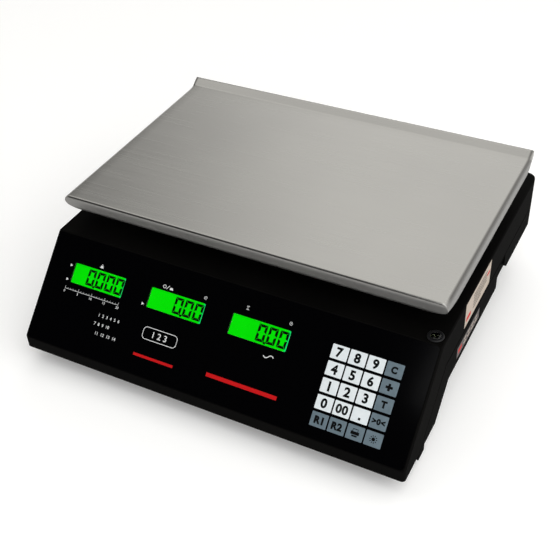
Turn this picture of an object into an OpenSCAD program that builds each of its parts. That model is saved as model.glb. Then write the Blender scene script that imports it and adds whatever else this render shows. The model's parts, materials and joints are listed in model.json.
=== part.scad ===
// Retail price scale: a moulded two-part housing with a sloping keypad and
// display panel, and a stainless pan carried on one load cell.
// Millimetres. X to the right, Y to the back, Z up, origin under the middle
// of the housing on the surface that the feet stand on.

/* [Housing] */
// Width of the housing
body_w = 348; // [330:1:370]
// Depth of the housing, front lip to rear wall
body_d = 316.5; // [300:0.5:335]
// Height of the housing's flat top above the table
body_top = 94.5; // [88:0.5:104]
// Thickness of the moulded walls
wall = 2.5; // [2:0.1:3]
// Radius of the housing's upright rear corners
corner_r = 9.5; // [6:0.5:14]
// Radius of the housing's upright front corners
front_r = 3; // [2:0.5:6]
// Height of the front lip's lower edge above the table
lip_bottom = 15.5; // [13:0.5:18]
// Height of the upright front lip
lip_h = 10.75; // [8:0.25:13]
// Slope of the front panel from the horizontal
panel_angle = 45; // [42:1:48]
// Height of the top housing's side walls, top to seam
band_h = 28.5; // [26:0.5:31]
// Bevel along the side edges of the panel
edge_bevel = 1.2; // [0.9:0.1:2]
// Depth of the shadow groove under the seam
groove_d = 0.8; // [0.4:0.1:1.2]
// Height of the shadow groove under the seam
groove_h = 1.4; // [0.8:0.1:2]

/* [Base] */
// Height of the base tray's underside above the table
base_bottom = 9; // [8.5:0.5:11]
// Height of the rim that follows the seam on the base's sides
rim_h = 25; // [21:0.5:28]
// Distance that the tray stands in behind the rim
rim_inset = 12; // [9:0.5:14]
// Height of the rim at the rear
rear_rim_h = 21; // [18:0.5:24]
// Cut corner at the front end of the rear rim
rear_rim_cut = 8; // [4:0.5:12]
// Place of the finger notch, from the middle of the housing to its front end
notch_y = 53; // [45:1:58]
// Width of the finger notch
notch_w = 20; // [18:0.5:26]
// Radius of the tray's upright corners
tray_r = 7; // [5:0.5:10]
// Depth of the full-width bar along the base's front edge
bar_d = 12; // [8:0.5:16]
// Gap between the base's front tongue and the lip
tongue_gap = 0.4; // [0.3:0.1:0.8]

/* [Pan] */
// Width of the pan over its flanges
pan_w = 342.4; // [336:0.2:346]
// Depth of the pan, front face to rear fold
pan_d = 211.5; // [205:0.5:216]
// Distance of the pan's front face behind the panel's upper edge
pan_setback = 11; // [9:0.5:14]
// Height of the pan's weighing surface above the table
pan_top = 124; // [120:0.5:130]
// Thickness of the pan's sheet
pan_t = 1; // [0.8:0.1:1.5]
// Depth of the pan's flanges
pan_flange = 12; // [10:0.5:14]
// Outer radius of the pan's front fold
pan_bend = 2.5; // [1.8:0.1:3.5]
// Outer radius of the pan's side folds
side_bend = 5; // [3:0.25:6]
// Length of the turned-up rear lip
lip_l = 10; // [7:0.5:13]
// Slope of the turned-up rear lip
lip_angle = 27; // [15:1:35]

/* [Displays] */
// Width of a display window
win_w = 52; // [48:0.5:56]
// Height of a display window
win_h = 17.1; // [15:0.1:18.5]
// Spacing of the front windows
win_pitch = 76.75; // [72:0.25:80]
// Middle of the first front window, left of the housing's middle
win_first = 121.6; // [118:0.2:126]
// Distance of the windows' upper edge below the panel's upper edge
win_drop = 23.1; // [20:0.1:26]
// Spacing of the rear windows
rear_pitch = 72; // [68:0.5:78]
// Width of a display module
lcd_w = 60; // [58:0.5:64]
// Height of a display module
lcd_h = 22; // [20:0.5:23]
// Thickness of a display module with its backlight
lcd_t = 4; // [3:0.2:6]
// Thickness of a circuit board
board_t = 1.6; // [1.2:0.2:2]

/* [Keypad] */
// Width of a key
key_w = 13.8; // [12.5:0.1:14.5]
// Height of a key along the slope
key_h = 11.4; // [10:0.1:12]
// Gap between key columns
key_gap_u = 1.0; // [0.8:0.1:1.4]
// Gap between key rows
key_gap_v = 1.9; // [1.2:0.1:2.4]
// Left edge of the keypad, right of the housing's middle
pad_u = 93; // [90:0.5:97]
// Distance of the keypad's upper edge below the panel's upper edge
pad_v = 21.8; // [19:0.1:24]
// Thickness of the printed overlay film
film_t = 0.4; // [0.3:0.05:0.5]
// Height of a key above the overlay
key_proud = 0.5; // [0.4:0.05:0.7]
// Travel of a key
key_travel = 0.5; // [0.3:0.05:0.6]
// Thickness of the switch sheet
sheet_t = 0.7; // [0.5:0.05:0.8]
// Depth of the keypad pocket in the panel
pocket_d = 1.5; // [1.4:0.05:1.6]
// Gap all round a key in the overlay
key_clear = 0.2; // [0.15:0.05:0.25]

/* [Weighing] */
// Length of the load cell
cell_l = 130; // [120:1:140]
// Width of the load cell
cell_w = 30; // [26:1:34]
// Height of the load cell
cell_h = 22; // [20:0.5:24]
// Height of the block under the load cell's fixed end
mount_h = 12.5; // [10:0.5:14]
// Length of each load cell block
block_l = 36; // [32:1:42]
// Height of the block on the load cell's live end
live_h = 8; // [6:0.5:10]
// Thickness of the pan support's arms
arm_t = 8; // [6:0.5:10]
// Width of the pan support's arms
arm_w = 18; // [14:0.5:22]
// Spread of the support posts from the pan's middle, across
post_x = 115; // [108:1:122]
// Spread of the support posts from the pan's middle, along
post_y = 62; // [56:1:66]
// Diameter of a support post
post_d = 16; // [14:0.5:18]
// Diameter of the hole that a post passes through
post_hole_d = 26; // [24:0.5:29]
// Thickness of the rubber cushion over a post
cushion_t = 6; // [5:0.5:8]
// Downward travel of the support before the overload stop
cell_travel = 0.6; // [0.4:0.05:0.8]

/* [Feet and fittings] */
// Diameter of a levelling foot's pad
pad_d = 26; // [22:1:30]
// Height of a levelling foot's pad
pad_h = 6; // [5:0.25:6.5]
// Diameter of a foot's threaded stem
stem_d = 8; // [6:0.5:10]
// Distance of the feet from the tray's side walls
foot_in = 18; // [17:0.5:22]
// Distance of the feet from the tray's front and rear walls
foot_end = 20; // [18:0.5:24]
// Height of the power switch's middle above the table
switch_z = 44; // [40:1:48]
// Diameter of the bubble level's flange
level_d = 13; // [12:0.5:14]
// Distance of the bubble level from the housing's right side
level_in = 9; // [8.5:0.5:12]
// Distance of the bubble level behind the panel's upper edge
level_back = 7.5; // [7:0.5:9]
// Shank diameter of the housing screws
screw_d = 3.5; // [3:0.1:4]
// Running clearance of screws and inserts in their holes
fit = 0.15; // [0.1:0.05:0.25]

/* [Hidden] */
$fn = 48;
half_w = body_w / 2;
front_y = -body_d / 2;
back_y = body_d / 2;
panel_z = lip_bottom + lip_h;
bend_y = front_y + (body_top - panel_z) / tan(panel_angle);
panel_l = (body_top - panel_z) / sin(panel_angle);
miter = tan(panel_angle / 2);
seam_z = body_top - band_h;
seam_y = bend_y + band_h * miter;
base_y = seam_y - (seam_z - lip_bottom) / tan(panel_angle);
floor_z = base_bottom + wall;
deck_bevel = edge_bevel * 0.75;
tray_x = half_w - rim_inset;
tray_back = back_y - rim_inset;
rim_z = seam_z - rim_h;
rear_rim_z = seam_z - rear_rim_h;
notch_end = notch_y + notch_w;

pan_y = bend_y + pan_setback;
pan_fold = pan_y + pan_d;
pan_mid = pan_y + pan_d / 2;
pan_under = pan_top - pan_t;
arc_steps = 6;
lip_side = side_bend + 1;
lip_r = lip_l / 2;

seat = 0.1;
over = 1;
sheet_top = sheet_t - pocket_d;
key_bottom = sheet_top + key_travel + seat;
key_top = film_t + key_proud;
key_edge = 0.4;
key_step = 0.3;
key_r = 1;
film_margin = edge_bevel + 0.8;
inner_r = 0.5;
film_r = 3;
pad_w = 4 * key_w + 3 * key_gap_u;
pad_l = 5 * key_h + 4 * key_gap_v;
pocket_margin = 1.5;
lcd_z = -wall - seat;
front_board_z = lcd_z - lcd_t;
board_edge = 2;
board_boss_d = 6;
board_screw_d = 2.6;
board_screw_l = 3;
board_head_d = 5;
board_head_h = 1.6;

cell_z = floor_z + mount_h;
cell_bolt_d = 6;
cell_bolt_grip = 10;
cell_bolt_hole = cell_bolt_d + 4 * fit;
bolt_head_d = 10;
bolt_head_h = 4;
stop_nut_d = 11;
stop_nut_h = 5;
cell_web = 3.5;
cell_eye_x = 12;
cell_slot_h = 4;
live_z = cell_z + cell_h;
arm_z = live_z + live_h;
post_top = pan_under - cushion_t;
cap_wall = 2;
cap_skirt = 6;
post_flange = 4;
collar_wall = 2;
collar_h = 3;
ring_wall = 1;
ring_h = 5;
ring_clear = 0.3;

stem_end = pad_h / 3;
stem_clear = 0.5;
stem_spare = 4;
stem_collar = 4;
stem_collar_h = 1.7;
stem_gap = 0.3;
pad_chamfer = 1.5;
pad_edge = 1;
flute_d = 4;
flutes = 10;
insert_wall = 1.5;
insert_l = 12;
insert_d = stem_d + 2 * insert_wall;
foot_boss_wall = 2.5;
foot_boss_d = insert_d + 2 * foot_boss_wall;
foot_boss_h = 16;
foot_x = tray_x - foot_in;
foot_rows = [base_y + foot_end, tray_back - foot_end];
foot_places = [for (sx = [-1, 1]) for (fy = foot_rows) [sx * foot_x, fy]];
foot_names = ["front_left", "rear_left", "front_right", "rear_right"];

boss_d = 9;
boss_split = 40;
screw_side = 24;
screw_y = 5;
screw_rear_x = 60;
screw_rear = 12;
screw_places = [[screw_side - half_w, screw_y], [half_w - screw_side, screw_y],
    [-screw_rear_x, tray_back - screw_rear], [screw_rear_x, tray_back - screw_rear]];
screw_head_d = 7;
screw_head_h = 3;
screw_web = 6;
screw_reach = 12;
tongue_lift = 1;

label_d = 0.3;
label_edge = 1.5;
label_back = 52;
label_l = 64;
base_label_back = 39;
base_label_l = 56;
base_label_low = 5;
base_label_h = 12;

bay_depth = 44;
bay_y = base_y + bay_depth;
main_board_size = [118, 62];
main_board_gap = 5;
main_board_at = [main_board_gap + foot_boss_d / 2 - foot_x + main_board_size[0] / 2, bay_y];
main_board_lift = 8;
main_boss_d = 7;
main_boss_in = 5;
processor_size = [20, 20, 2];
converter_size = [14, 14, 3];
plug_size = [16, 6, 8];
plug_pitch = 30;
battery_size = [97, 66, 33];
battery_gap = 3.5;
battery_at = [foot_x - foot_boss_d / 2 - battery_gap - battery_size[0] / 2, bay_y];
tab_size = [2, 6, 1];
tab_spread = 15;
strap_w = 16;
strap_t = 1.5;
strap_foot = 7.5;
strap_hole_d = 3.2;
coil_size = [42, 36, 34];
coil_side = 64;
coil_rear = 26;
coil_at = [coil_side - tray_x, tray_back - coil_rear];
coil_foot = 6;
coil_foot_t = 2;
winding = 0.6;

inlet_size = [28, 20];
inlet_rim = 2;
inlet_x = -20;
inlet_z = 27;
inlet_depth = 18;
socket_size = [20, 13];
socket_depth = 14;
pin_d = 2.4;
pin_x = 4.3;
pin_in = 6;
pin_l = 10;

rocker_r = 9;
rocker_w = 10.4;
rocker_tilt = 10;
rocker_gap = 0.3;
rocker_face = 1;
switch_size = [16, 23];
switch_rim = 1.5;
switch_flange = 2;
switch_depth = 20;
switch_y = notch_y + notch_w / 2;
pivot_out = 0.5;

KEY_NAMES = ["key_7", "key_8", "key_9", "key_clear",
    "key_4", "key_5", "key_6", "key_memory",
    "key_1", "key_2", "key_3", "key_tare",
    "key_0", "key_00", "key_point", "key_zero",
    "key_recall_1", "key_recall_2", "key_print", "key_light"];

// A flat outline with round corners, centred
module round_rect(w, d, r) {
    square([w - 2 * r, d], center = true);
    square([w, d - 2 * r], center = true);
    for (sx = [-1, 1]) for (sy = [-1, 1])
        translate([sx * (w / 2 - r), sy * (d / 2 - r)]) circle(r);
}

// An outline in Y and Z carried across the width
module along_x(w) {
    rotate([90, 0, 90]) linear_extrude(w, center = true) children();
}

// The panel's own frame: X across, Y up the slope from its upper edge, Z outwards
module on_panel() {
    translate([0, bend_y, body_top]) rotate([panel_angle, 0, 0]) children();
}

// The rear wall's own frame, seen from behind: X to the right, Y up, Z outwards
module on_rear() {
    translate([0, back_y, seam_z + (band_h - wall) / 2]) rotate([90, 0, 180]) children();
}

// A block from a low corner to a high corner
module span(lo, hi) {
    translate(lo) cube(hi - lo);
}

// The housing's plan outline, drawn in by an inset, with tighter corners in front
module plan(inset) {
    w = body_w - 2 * inset;
    d = body_d - 2 * inset;
    linear_extrude(2 * body_top, center = true) {
        round_rect(w, d, corner_r - inset);
        translate([0, -d / 4]) round_rect(w, d / 2, max(front_r - inset, inner_r));
    }
}

// Side outline of the top housing
function top_outline() = [[front_y, lip_bottom], [front_y, panel_z], [bend_y, body_top], [back_y, body_top],
    [back_y, seam_z], [seam_y, seam_z], [base_y, lip_bottom]];

// Side outline of the space inside the top housing, open below
function top_space() =
    let (y0 = front_y + wall, y1 = back_y - wall, z1 = body_top - wall, yb = bend_y + wall * miter)
    [[y0, 0], [y0, z1 - (yb - y0) * tan(panel_angle)], [yb, z1], [y1, z1], [y1, 0]];

// Side outline of all that lies under the seam
function under_seam(drop) = [[base_y, 0], [base_y, lip_bottom - drop], [seam_y + drop * miter, seam_z - drop],
    [back_y, seam_z - drop], [back_y, 0]];

// Side outline of the rim ahead of the notch, drawn in by an inset
function rim_outline(inset) =
    let (yd = seam_y + (rim_h - inset) * miter, yc = yd - (rim_z - lip_bottom) / tan(panel_angle))
    [[base_y + inset, lip_bottom + inset], [yc, lip_bottom + inset], [yd, rim_z + inset],
    [notch_y - inset, rim_z + inset], [notch_y - inset, body_top], [base_y + inset, body_top]];

// Side outline of the rim behind the notch, drawn in by an inset
function rear_rim_outline(inset) =
    let (y0 = notch_end + inset, z0 = rear_rim_z + inset, cut = max(rear_rim_cut - inset, over))
    [[y0 + cut, z0], [back_y - inset, z0], [back_y - inset, body_top], [y0, body_top], [y0, z0 + cut]];

// Places of the key middles in the panel's frame
function key_at(i) = [pad_u + key_w / 2 + (i % 4) * (key_w + key_gap_u),
    -pad_v - key_h / 2 - floor(i / 4) * (key_h + key_gap_v)];

// Middles of the windows
function front_window(i) = [-win_first + i * win_pitch, -win_drop - win_h / 2];
function rear_window(i) = [(i - 1) * rear_pitch, 0];

// Places of the display board's bosses, between and beside the windows
display_bosses = [for (i = [0:3]) [-win_first + (i - 0.5) * win_pitch, -win_drop - win_h / 2]];
rear_bosses = [for (i = [0, 1]) [(i - 0.5) * rear_pitch, 0]];
boss_spread = main_board_size / 2 - [main_boss_in, main_boss_in];
board_bosses = [for (sx = [-1, 1]) for (sy = [-1, 1])
    main_board_at + [sx * boss_spread[0], sy * boss_spread[1]]];
post_places = [for (sx = [-1, 1]) for (sy = [-1, 1]) [sx * post_x, pan_mid + sy * post_y]];
cell_holes = [-block_l / 4, block_l / 4];
cell_end = cell_l / 2 - block_l / 2;
level_at = [half_w - level_in, bend_y + level_back];
level_rim = 1.5;
level_bore = level_d - 2 * level_rim;
level_depth = 6;
level_wall = 1;
level_floor = 1.5;
level_proud = 1.2;
level_dome = 0.4;

// Pocket in the panel for the switch sheet
module pocket() {
    translate([pad_u + pad_w / 2, -pad_v - pad_l / 2, 0])
        linear_extrude(2 * pocket_d, center = true)
            square([pad_w + 2 * pocket_margin, pad_l + 2 * pocket_margin], center = true);
}

// A place in plan on the underside of the base
module on_floor(p) {
    translate([p[0], p[1], base_bottom]) children();
}

// A round cut between two heights, a little longer at both ends
module hole(d, low, high) {
    translate([0, 0, low - over]) cylinder(d = d, h = high - low + 2 * over);
}

// Shallow recess in the right wall that a label lies in, some way behind the panel's upper edge
module label_recess(back, low, l, h) {
    translate([half_w - label_d, bend_y + back, low]) cube([label_d + over, l, h]);
}

// The tray's form drawn in by an inset
module tray_form(inset) {
    translate([0, (base_y + tray_back) / 2, base_bottom + inset])
        linear_extrude(body_top)
            round_rect(2 * (tray_x - inset), tray_back - base_y - 2 * inset, tray_r - inset);
}

// Moulded tray: floor, set-in walls, the rim under the seam, a roofed notch on each side
module base_housing() {
    tongue_z = lip_bottom + tongue_lift;
    color("#1a1a1b") difference() {
        union() {
            difference() {
                intersection() {
                    union() {
                        tray_form(0);
                        span([-half_w, base_y, base_bottom], [half_w, base_y + bar_d, lip_bottom + wall]);
                        span([-half_w, notch_y, seam_z - wall], [half_w, notch_end, seam_z]);
                        along_x(body_w) polygon(rim_outline(0));
                        along_x(body_w) polygon(rear_rim_outline(0));
                    }
                    along_x(body_w) polygon(under_seam(0));
                    plan(0);
                }
                intersection() {
                    union() {
                        tray_form(wall);
                        along_x(body_w) polygon(rim_outline(wall));
                        along_x(body_w) polygon(rear_rim_outline(wall));
                    }
                    plan(wall);
                }
                difference() {
                    along_x(body_w + 2 * over) polygon(under_seam(0));
                    along_x(body_w + 4 * over) polygon(under_seam(groove_h));
                    plan(groove_d);
                }
            }
            intersection() {
                union() {
                    span([-half_w, front_y, tongue_z], [half_w, base_y + wall, tongue_z + wall]);
                    span([-half_w, base_y, base_bottom], [half_w, base_y + wall, tongue_z + wall]);
                }
                plan(wall + tongue_gap);
            }
            for (p = foot_places) on_floor(p) cylinder(d = foot_boss_d, h = foot_boss_h);
            for (p = screw_places) on_floor(p) cylinder(d = boss_d, h = boss_split - base_bottom);
            for (p = board_bosses) on_floor(p) cylinder(d = main_boss_d, h = wall + main_board_lift);
        }
        for (p = foot_places) {
            on_floor(p) hole(stem_d + 2 * stem_clear, 0, foot_boss_h);
            on_floor(p) hole(insert_d + 2 * fit, foot_boss_h - insert_l + over, foot_boss_h);
        }
        for (p = screw_places) {
            on_floor(p) hole(screw_d + 4 * fit, 0, boss_split - base_bottom);
            on_floor(p) hole(screw_head_d + 4 * fit, 0, boss_split - base_bottom - screw_web - over);
        }
        for (p = board_bosses) on_floor(p) hole(board_screw_d + 2 * fit, wall + over, wall + main_board_lift);
        label_recess(base_label_back, rim_z + base_label_low, base_label_l, base_label_h);
        for (dx = cell_holes) on_floor([dx - cell_end, pan_mid]) hole(cell_bolt_hole, 0, wall);
        on_floor([cell_end, pan_mid]) hole(cell_bolt_d + 2 * fit, 0, wall);
        translate([tray_x, switch_y, switch_z])
            cube([4 * wall, switch_size[0] - 2 * switch_rim, switch_size[1] - 2 * switch_rim], center = true);
        translate([inlet_x, tray_back, inlet_z])
            cube([inlet_size[0] - 2 * inlet_rim, 4 * wall, inlet_size[1] - 2 * inlet_rim], center = true);
    }
}

// Boss behind a display, from the back of the wall to its board
module board_boss() {
    translate([0, 0, front_board_z]) cylinder(d = board_boss_d, h = -front_board_z - over);
}

// Screw hole in such a boss
module board_boss_hole() {
    translate([0, 0, front_board_z]) hole(board_screw_d + 2 * fit, 0, board_screw_l);
}

// Moulded top: flat deck, sloping panel, lip and side walls down to the seam
module top_housing() {
    color("#151516") difference() {
        union() {
            difference() {
                intersection() {
                    along_x(body_w) polygon(top_outline());
                    plan(0);
                }
                intersection() {
                    along_x(body_w) polygon(top_space());
                    plan(wall);
                }
            }
            for (p = post_places) translate([p[0], p[1], body_top - wall])
                cylinder(d = post_hole_d + 2 * collar_wall, h = wall + collar_h);
            for (p = screw_places) translate([p[0], p[1], boss_split])
                cylinder(d = boss_d, h = body_top - boss_split - over);
            on_panel() for (p = display_bosses) translate(p) board_boss();
            on_rear() for (p = rear_bosses) translate(p) board_boss();
        }
        for (p = post_places) translate([p[0], p[1], body_top]) hole(post_hole_d, -wall, collar_h);
        for (p = screw_places) translate([p[0], p[1], boss_split]) hole(screw_d + 2 * fit, 0, screw_reach);
        on_panel() {
            for (i = [0:2]) translate(front_window(i)) cube([win_w, win_h, 4 * wall], center = true);
            pocket();
            for (p = display_bosses) translate(p) board_boss_hole();
            for (sx = [-1, 1]) translate([sx * half_w, -panel_l / 2, 0]) rotate([0, 45, 0])
                cube([edge_bevel * sqrt(2), 2 * panel_l, edge_bevel * sqrt(2)], center = true);
        }
        on_rear() {
            for (i = [0:2]) translate(rear_window(i)) cube([win_w, win_h, 4 * wall], center = true);
            for (p = rear_bosses) translate(p) board_boss_hole();
        }
        for (sx = [-1, 1]) translate([sx * half_w, bend_y + body_d / 2, body_top]) rotate([0, 45, 0])
            cube([deck_bevel * sqrt(2), body_d, deck_bevel * sqrt(2)], center = true);
        translate([level_at[0], level_at[1], body_top]) hole(level_bore + 2 * fit, -wall, 0);
        label_recess(label_back, seam_z + label_edge, label_l, band_h - 2 * label_edge);
    }
}

// Printed film on the panel, with a hole for each window and key
module panel_overlay() {
    color("#0b0b0d") on_panel() difference() {
        translate([0, -panel_l / 2, 0]) linear_extrude(film_t)
            round_rect(body_w - 2 * film_margin, panel_l - film_margin, film_r);
        for (i = [0:2]) translate(front_window(i)) cube([win_w, win_h, 4 * film_t], center = true);
        for (i = [0:19]) translate(key_at(i))
            cube([key_w + 2 * key_clear, key_h + 2 * key_clear, 4 * film_t], center = true);
    }
}

// Switch sheet on the floor of the keypad pocket
module keypad_sheet() {
    margin = 2 * pocket_margin - 2 * fit;
    color("#5c6a58") on_panel()
        translate([pad_u + pad_w / 2, -pad_v - pad_l / 2, -pocket_d])
            linear_extrude(sheet_t) square([pad_w + margin, pad_l + margin], center = true);
}

// One key: a low pillow that stands a little above the film
module key(i) {
    pale = i < 15 && i % 4 < 3;
    tall = key_top - key_bottom;
    color(pale ? "#d8dee0" : "#6f7f88") on_panel()
        translate([key_at(i)[0], key_at(i)[1], key_bottom]) {
            linear_extrude(tall - key_step) round_rect(key_w, key_h, key_r);
            linear_extrude(tall) round_rect(key_w - 2 * key_edge, key_h - 2 * key_edge, key_r - key_edge / 2);
        }
}

// Clear blocks that fill the front windows level with the film
module front_windows() {
    color("#d5f5d8") on_panel() for (i = [0:2])
        translate([front_window(i)[0], front_window(i)[1], -wall])
            linear_extrude(wall + film_t) square([win_w - 2 * fit, win_h - 2 * fit], center = true);
}

// Liquid crystal modules, glass in front and backlight behind
module front_lcds() {
    color("#00e600") on_panel() for (i = [0:2])
        translate([front_window(i)[0], front_window(i)[1], lcd_z - lcd_t])
            linear_extrude(lcd_t) square([lcd_w, lcd_h], center = true);
}

// Board that carries the front modules, screwed to bosses on the panel's back
module display_board() {
    color("#1f5a34") on_panel()
        translate([win_pitch - win_first, front_window(0)[1], front_board_z - board_t])
            linear_extrude(board_t) difference() {
                square([3 * win_pitch + 4 * board_edge, lcd_h + 2 * board_edge], center = true);
                for (i = [0:3]) translate([(i - 1.5) * win_pitch, 0]) circle(d = board_screw_d + 4 * fit);
            }
}

// Clear blocks that fill the rear windows
module rear_windows() {
    color("#d5f5d8") on_rear() for (i = [0:2])
        translate([rear_window(i)[0], rear_window(i)[1], -wall])
            linear_extrude(wall) square([win_w - 2 * fit, win_h - 2 * fit], center = true);
}

// Liquid crystal modules on the buyer's side
module rear_lcds() {
    color("#00e600") on_rear() for (i = [0:2])
        translate([rear_window(i)[0], rear_window(i)[1], lcd_z - lcd_t])
            linear_extrude(lcd_t) square([lcd_w, lcd_h], center = true);
}

// Board that carries the rear modules
module rear_board() {
    color("#1f5a34") on_rear() translate([0, 0, front_board_z - board_t])
        linear_extrude(board_t) difference() {
            square([2 * rear_pitch + lcd_w + 2 * board_edge, lcd_h + board_edge], center = true);
            for (p = rear_bosses) translate(p) circle(d = board_screw_d + 4 * fit);
        }
}

// A block that stands on the board's upper face
module on_board(p, size) {
    translate([p[0], p[1], board_t + size[2] / 2]) cube(size, center = true);
}

// Main board on four bosses, with its processor, converter and connectors
module main_board() {
    color("#1f5a34") translate([main_board_at[0], main_board_at[1], floor_z + main_board_lift]) {
        linear_extrude(board_t) difference() {
            square(main_board_size, center = true);
            for (p = board_bosses) translate(p - main_board_at) circle(d = board_screw_d + 4 * fit);
        }
        on_board([-plug_pitch / 2, 0], processor_size);
        on_board([plug_pitch * 0.75, plug_size[1]], converter_size);
        for (k = [-1:1]) on_board([k * plug_pitch, plug_size[1] - main_board_size[1] / 2], plug_size);
    }
}

// Sealed battery on the floor under the keypad
module battery() {
    color("#3a3d42") translate([battery_at[0], battery_at[1], floor_z + seat]) {
        linear_extrude(battery_size[2]) square([battery_size[0], battery_size[1]], center = true);
        for (sy = [-1, 1]) translate([-battery_size[0] / 2, sy * tab_spread, battery_size[2] / 2])
            cube([2 * tab_size[0], tab_size[1], tab_size[2]], center = true);
    }
}

// Steel strap over the battery, with a turned-out foot at each end
module battery_strap() {
    inner = battery_size[1] / 2 + seat;
    top = floor_z + seat + battery_size[2] + seat;
    color("#9a9c9e") translate([battery_at[0], battery_at[1], 0]) difference() {
        along_x(strap_w) union() {
            for (sy = [0, 1]) mirror([sy, 0]) translate([inner, floor_z]) {
                square([strap_t, top - floor_z + strap_t]);
                square([strap_foot, strap_t]);
            }
            translate([-inner, top]) square([2 * inner, strap_t]);
        }
        for (sy = [-1, 1]) translate([0, sy * (inner + (strap_foot + strap_t) / 2), floor_z])
            hole(strap_hole_d, 0, strap_t);
    }
}

// Mains transformer: winding between its core's limbs
module mains_transformer() {
    limb = coil_size[1] / 2;
    color("#7a6a4a") translate([coil_at[0], coil_at[1], floor_z]) {
        translate([0, 0, coil_size[2] / 2]) {
            cube([coil_size[0], limb, coil_size[2]], center = true);
            cube([coil_size[0] * winding, coil_size[1], coil_size[2] * winding], center = true);
        }
        translate([0, 0, coil_foot_t / 2])
            cube([coil_size[0] + 2 * coil_foot, limb, coil_foot_t], center = true);
    }
}

// Power inlet in the tray's rear wall: a flange outside, a body inside, an open socket
module power_inlet() {
    half = inlet_size / 2;
    body = half - [inlet_rim + fit, inlet_rim + fit];
    mouth = socket_size / 2;
    color("#202124") translate([inlet_x, tray_back, inlet_z]) difference() {
        union() {
            span([-half[0], 0, -half[1]], [half[0], inlet_rim, half[1]]);
            span([-body[0], -inlet_depth, -body[1]], [body[0], inlet_rim / 2, body[1]]);
        }
        span([-mouth[0], inlet_rim - socket_depth, -mouth[1]], [mouth[0], inlet_rim + over, mouth[1]]);
    }
    color("#c8c9cb") for (sx = [-1, 1]) translate([inlet_x + sx * pin_x, tray_back - pin_in, inlet_z])
        rotate([90, 0, 0]) cylinder(d = pin_d, h = pin_l);
}

// The power switch's own frame: X out of the tray's right wall, Z up, pivot at the origin
module on_switch() {
    translate([tray_x + pivot_out, switch_y, switch_z]) children();
}

// Snap-in frame of the power switch
module switch_frame() {
    half = switch_size / 2;
    body = half - [switch_rim + fit, switch_rim + fit];
    well = [rocker_w / 2 + rocker_gap, rocker_r + rocker_gap];
    color("#111113") on_switch() difference() {
        union() {
            span([-pivot_out, -half[0], -half[1]], [switch_flange - pivot_out, half[0], half[1]]);
            span([-switch_depth, -body[0], -body[1]], [0, body[0], body[1]]);
        }
        rotate([90, 0, 0]) cylinder(r = well[1], h = 2 * well[0], center = true);
        span([0, -well[0], -well[1]], [switch_flange + over, well[0], well[1]]);
    }
}

// Rocker on its cross pin: a round belly and two faces that meet in a shallow valley
module switch_rocker() {
    end = rocker_face + rocker_r * tan(rocker_tilt);
    color("#26272a") on_switch() rotate([0, rocker_tilt, 0]) intersection() {
        rotate([90, 0, 0]) cylinder(r = rocker_r, h = rocker_w, center = true);
        rotate([90, 0, 0]) linear_extrude(rocker_w, center = true)
            polygon([[-rocker_r, -rocker_r], [end, -rocker_r], [rocker_face, 0], [end, rocker_r],
                [-rocker_r, rocker_r]]);
    }
}

// Cup of the bubble level, let into the deck from above
module level_cup() {
    bore = level_bore / 2;
    flange = level_d / 2;
    half = level_proud / 2;
    color("#101012") translate([level_at[0], level_at[1], body_top]) rotate_extrude()
        polygon([[0, -level_depth], [bore, -level_depth], [bore, 0], [flange, 0], [flange, half],
            [flange - half, level_proud], [bore - level_wall, level_proud],
            [bore - level_wall, level_floor - level_depth], [0, level_floor - level_depth]]);
}

// Clear vial of the bubble level, domed on top
module level_vial() {
    r = level_bore / 2 - level_wall - fit;
    low = level_floor - level_depth;
    shoulder = level_proud - level_dome / 2;
    color("#c9e86a") translate([level_at[0], level_at[1], body_top]) rotate_extrude()
        polygon([[0, low], [r, low], [r, shoulder], [r - level_dome, shoulder + level_dome / 2],
            [0, level_proud + level_dome]]);
}

// Single-point load cell: an aluminium bar with the cut that lets it bend
module load_cell() {
    color("#b9bcbf") translate([0, pan_mid, cell_z]) difference() {
        span([-cell_l / 2, -cell_w / 2, 0], [cell_l / 2, cell_w / 2, cell_h]);
        for (sx = [-1, 1]) translate([sx * cell_eye_x, 0, cell_h / 2]) rotate([90, 0, 0])
            cylinder(d = cell_h - 2 * cell_web, h = cell_w + 2 * over, center = true);
        translate([0, 0, cell_h / 2]) cube([2 * cell_eye_x, cell_w + 2 * over, cell_slot_h], center = true);
        for (dx = cell_holes) {
            translate([dx - cell_end, 0, 0]) hole(cell_bolt_d + 2 * fit, 0, cell_bolt_grip);
            translate([cell_end + dx, 0, cell_h]) hole(cell_bolt_d + 2 * fit, -cell_bolt_grip, 0);
        }
    }
}

// Block between the base's floor and the load cell's fixed end
module load_cell_mount() {
    color("#8d9093") translate([-cell_end, pan_mid, floor_z]) difference() {
        span([-block_l / 2, -cell_w / 2, 0], [block_l / 2, cell_w / 2, mount_h]);
        for (dx = cell_holes) translate([dx, 0, 0]) hole(cell_bolt_hole, 0, mount_h);
    }
}

// Two screws from under the floor through the block into the load cell
module fixed_end_screws() {
    color("#77797c") for (dx = cell_holes) translate([dx - cell_end, pan_mid, base_bottom]) {
        translate([0, 0, -bolt_head_h]) cylinder(d = bolt_head_d, h = bolt_head_h);
        translate([0, 0, -over]) cylinder(d = cell_bolt_d, h = wall + mount_h + cell_bolt_grip);
    }
}

// Overload stop under the live end: a screw up through the floor, with its lock nut
module overload_stop() {
    color("#77797c") translate([cell_end, pan_mid, base_bottom]) {
        translate([0, 0, -bolt_head_h]) cylinder(d = bolt_head_d, h = bolt_head_h);
        translate([0, 0, -over]) cylinder(d = cell_bolt_d, h = wall + mount_h - cell_travel - seat + over);
        translate([0, 0, wall]) cylinder(d = stop_nut_d, h = stop_nut_h, $fn = 6);
    }
}

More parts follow.
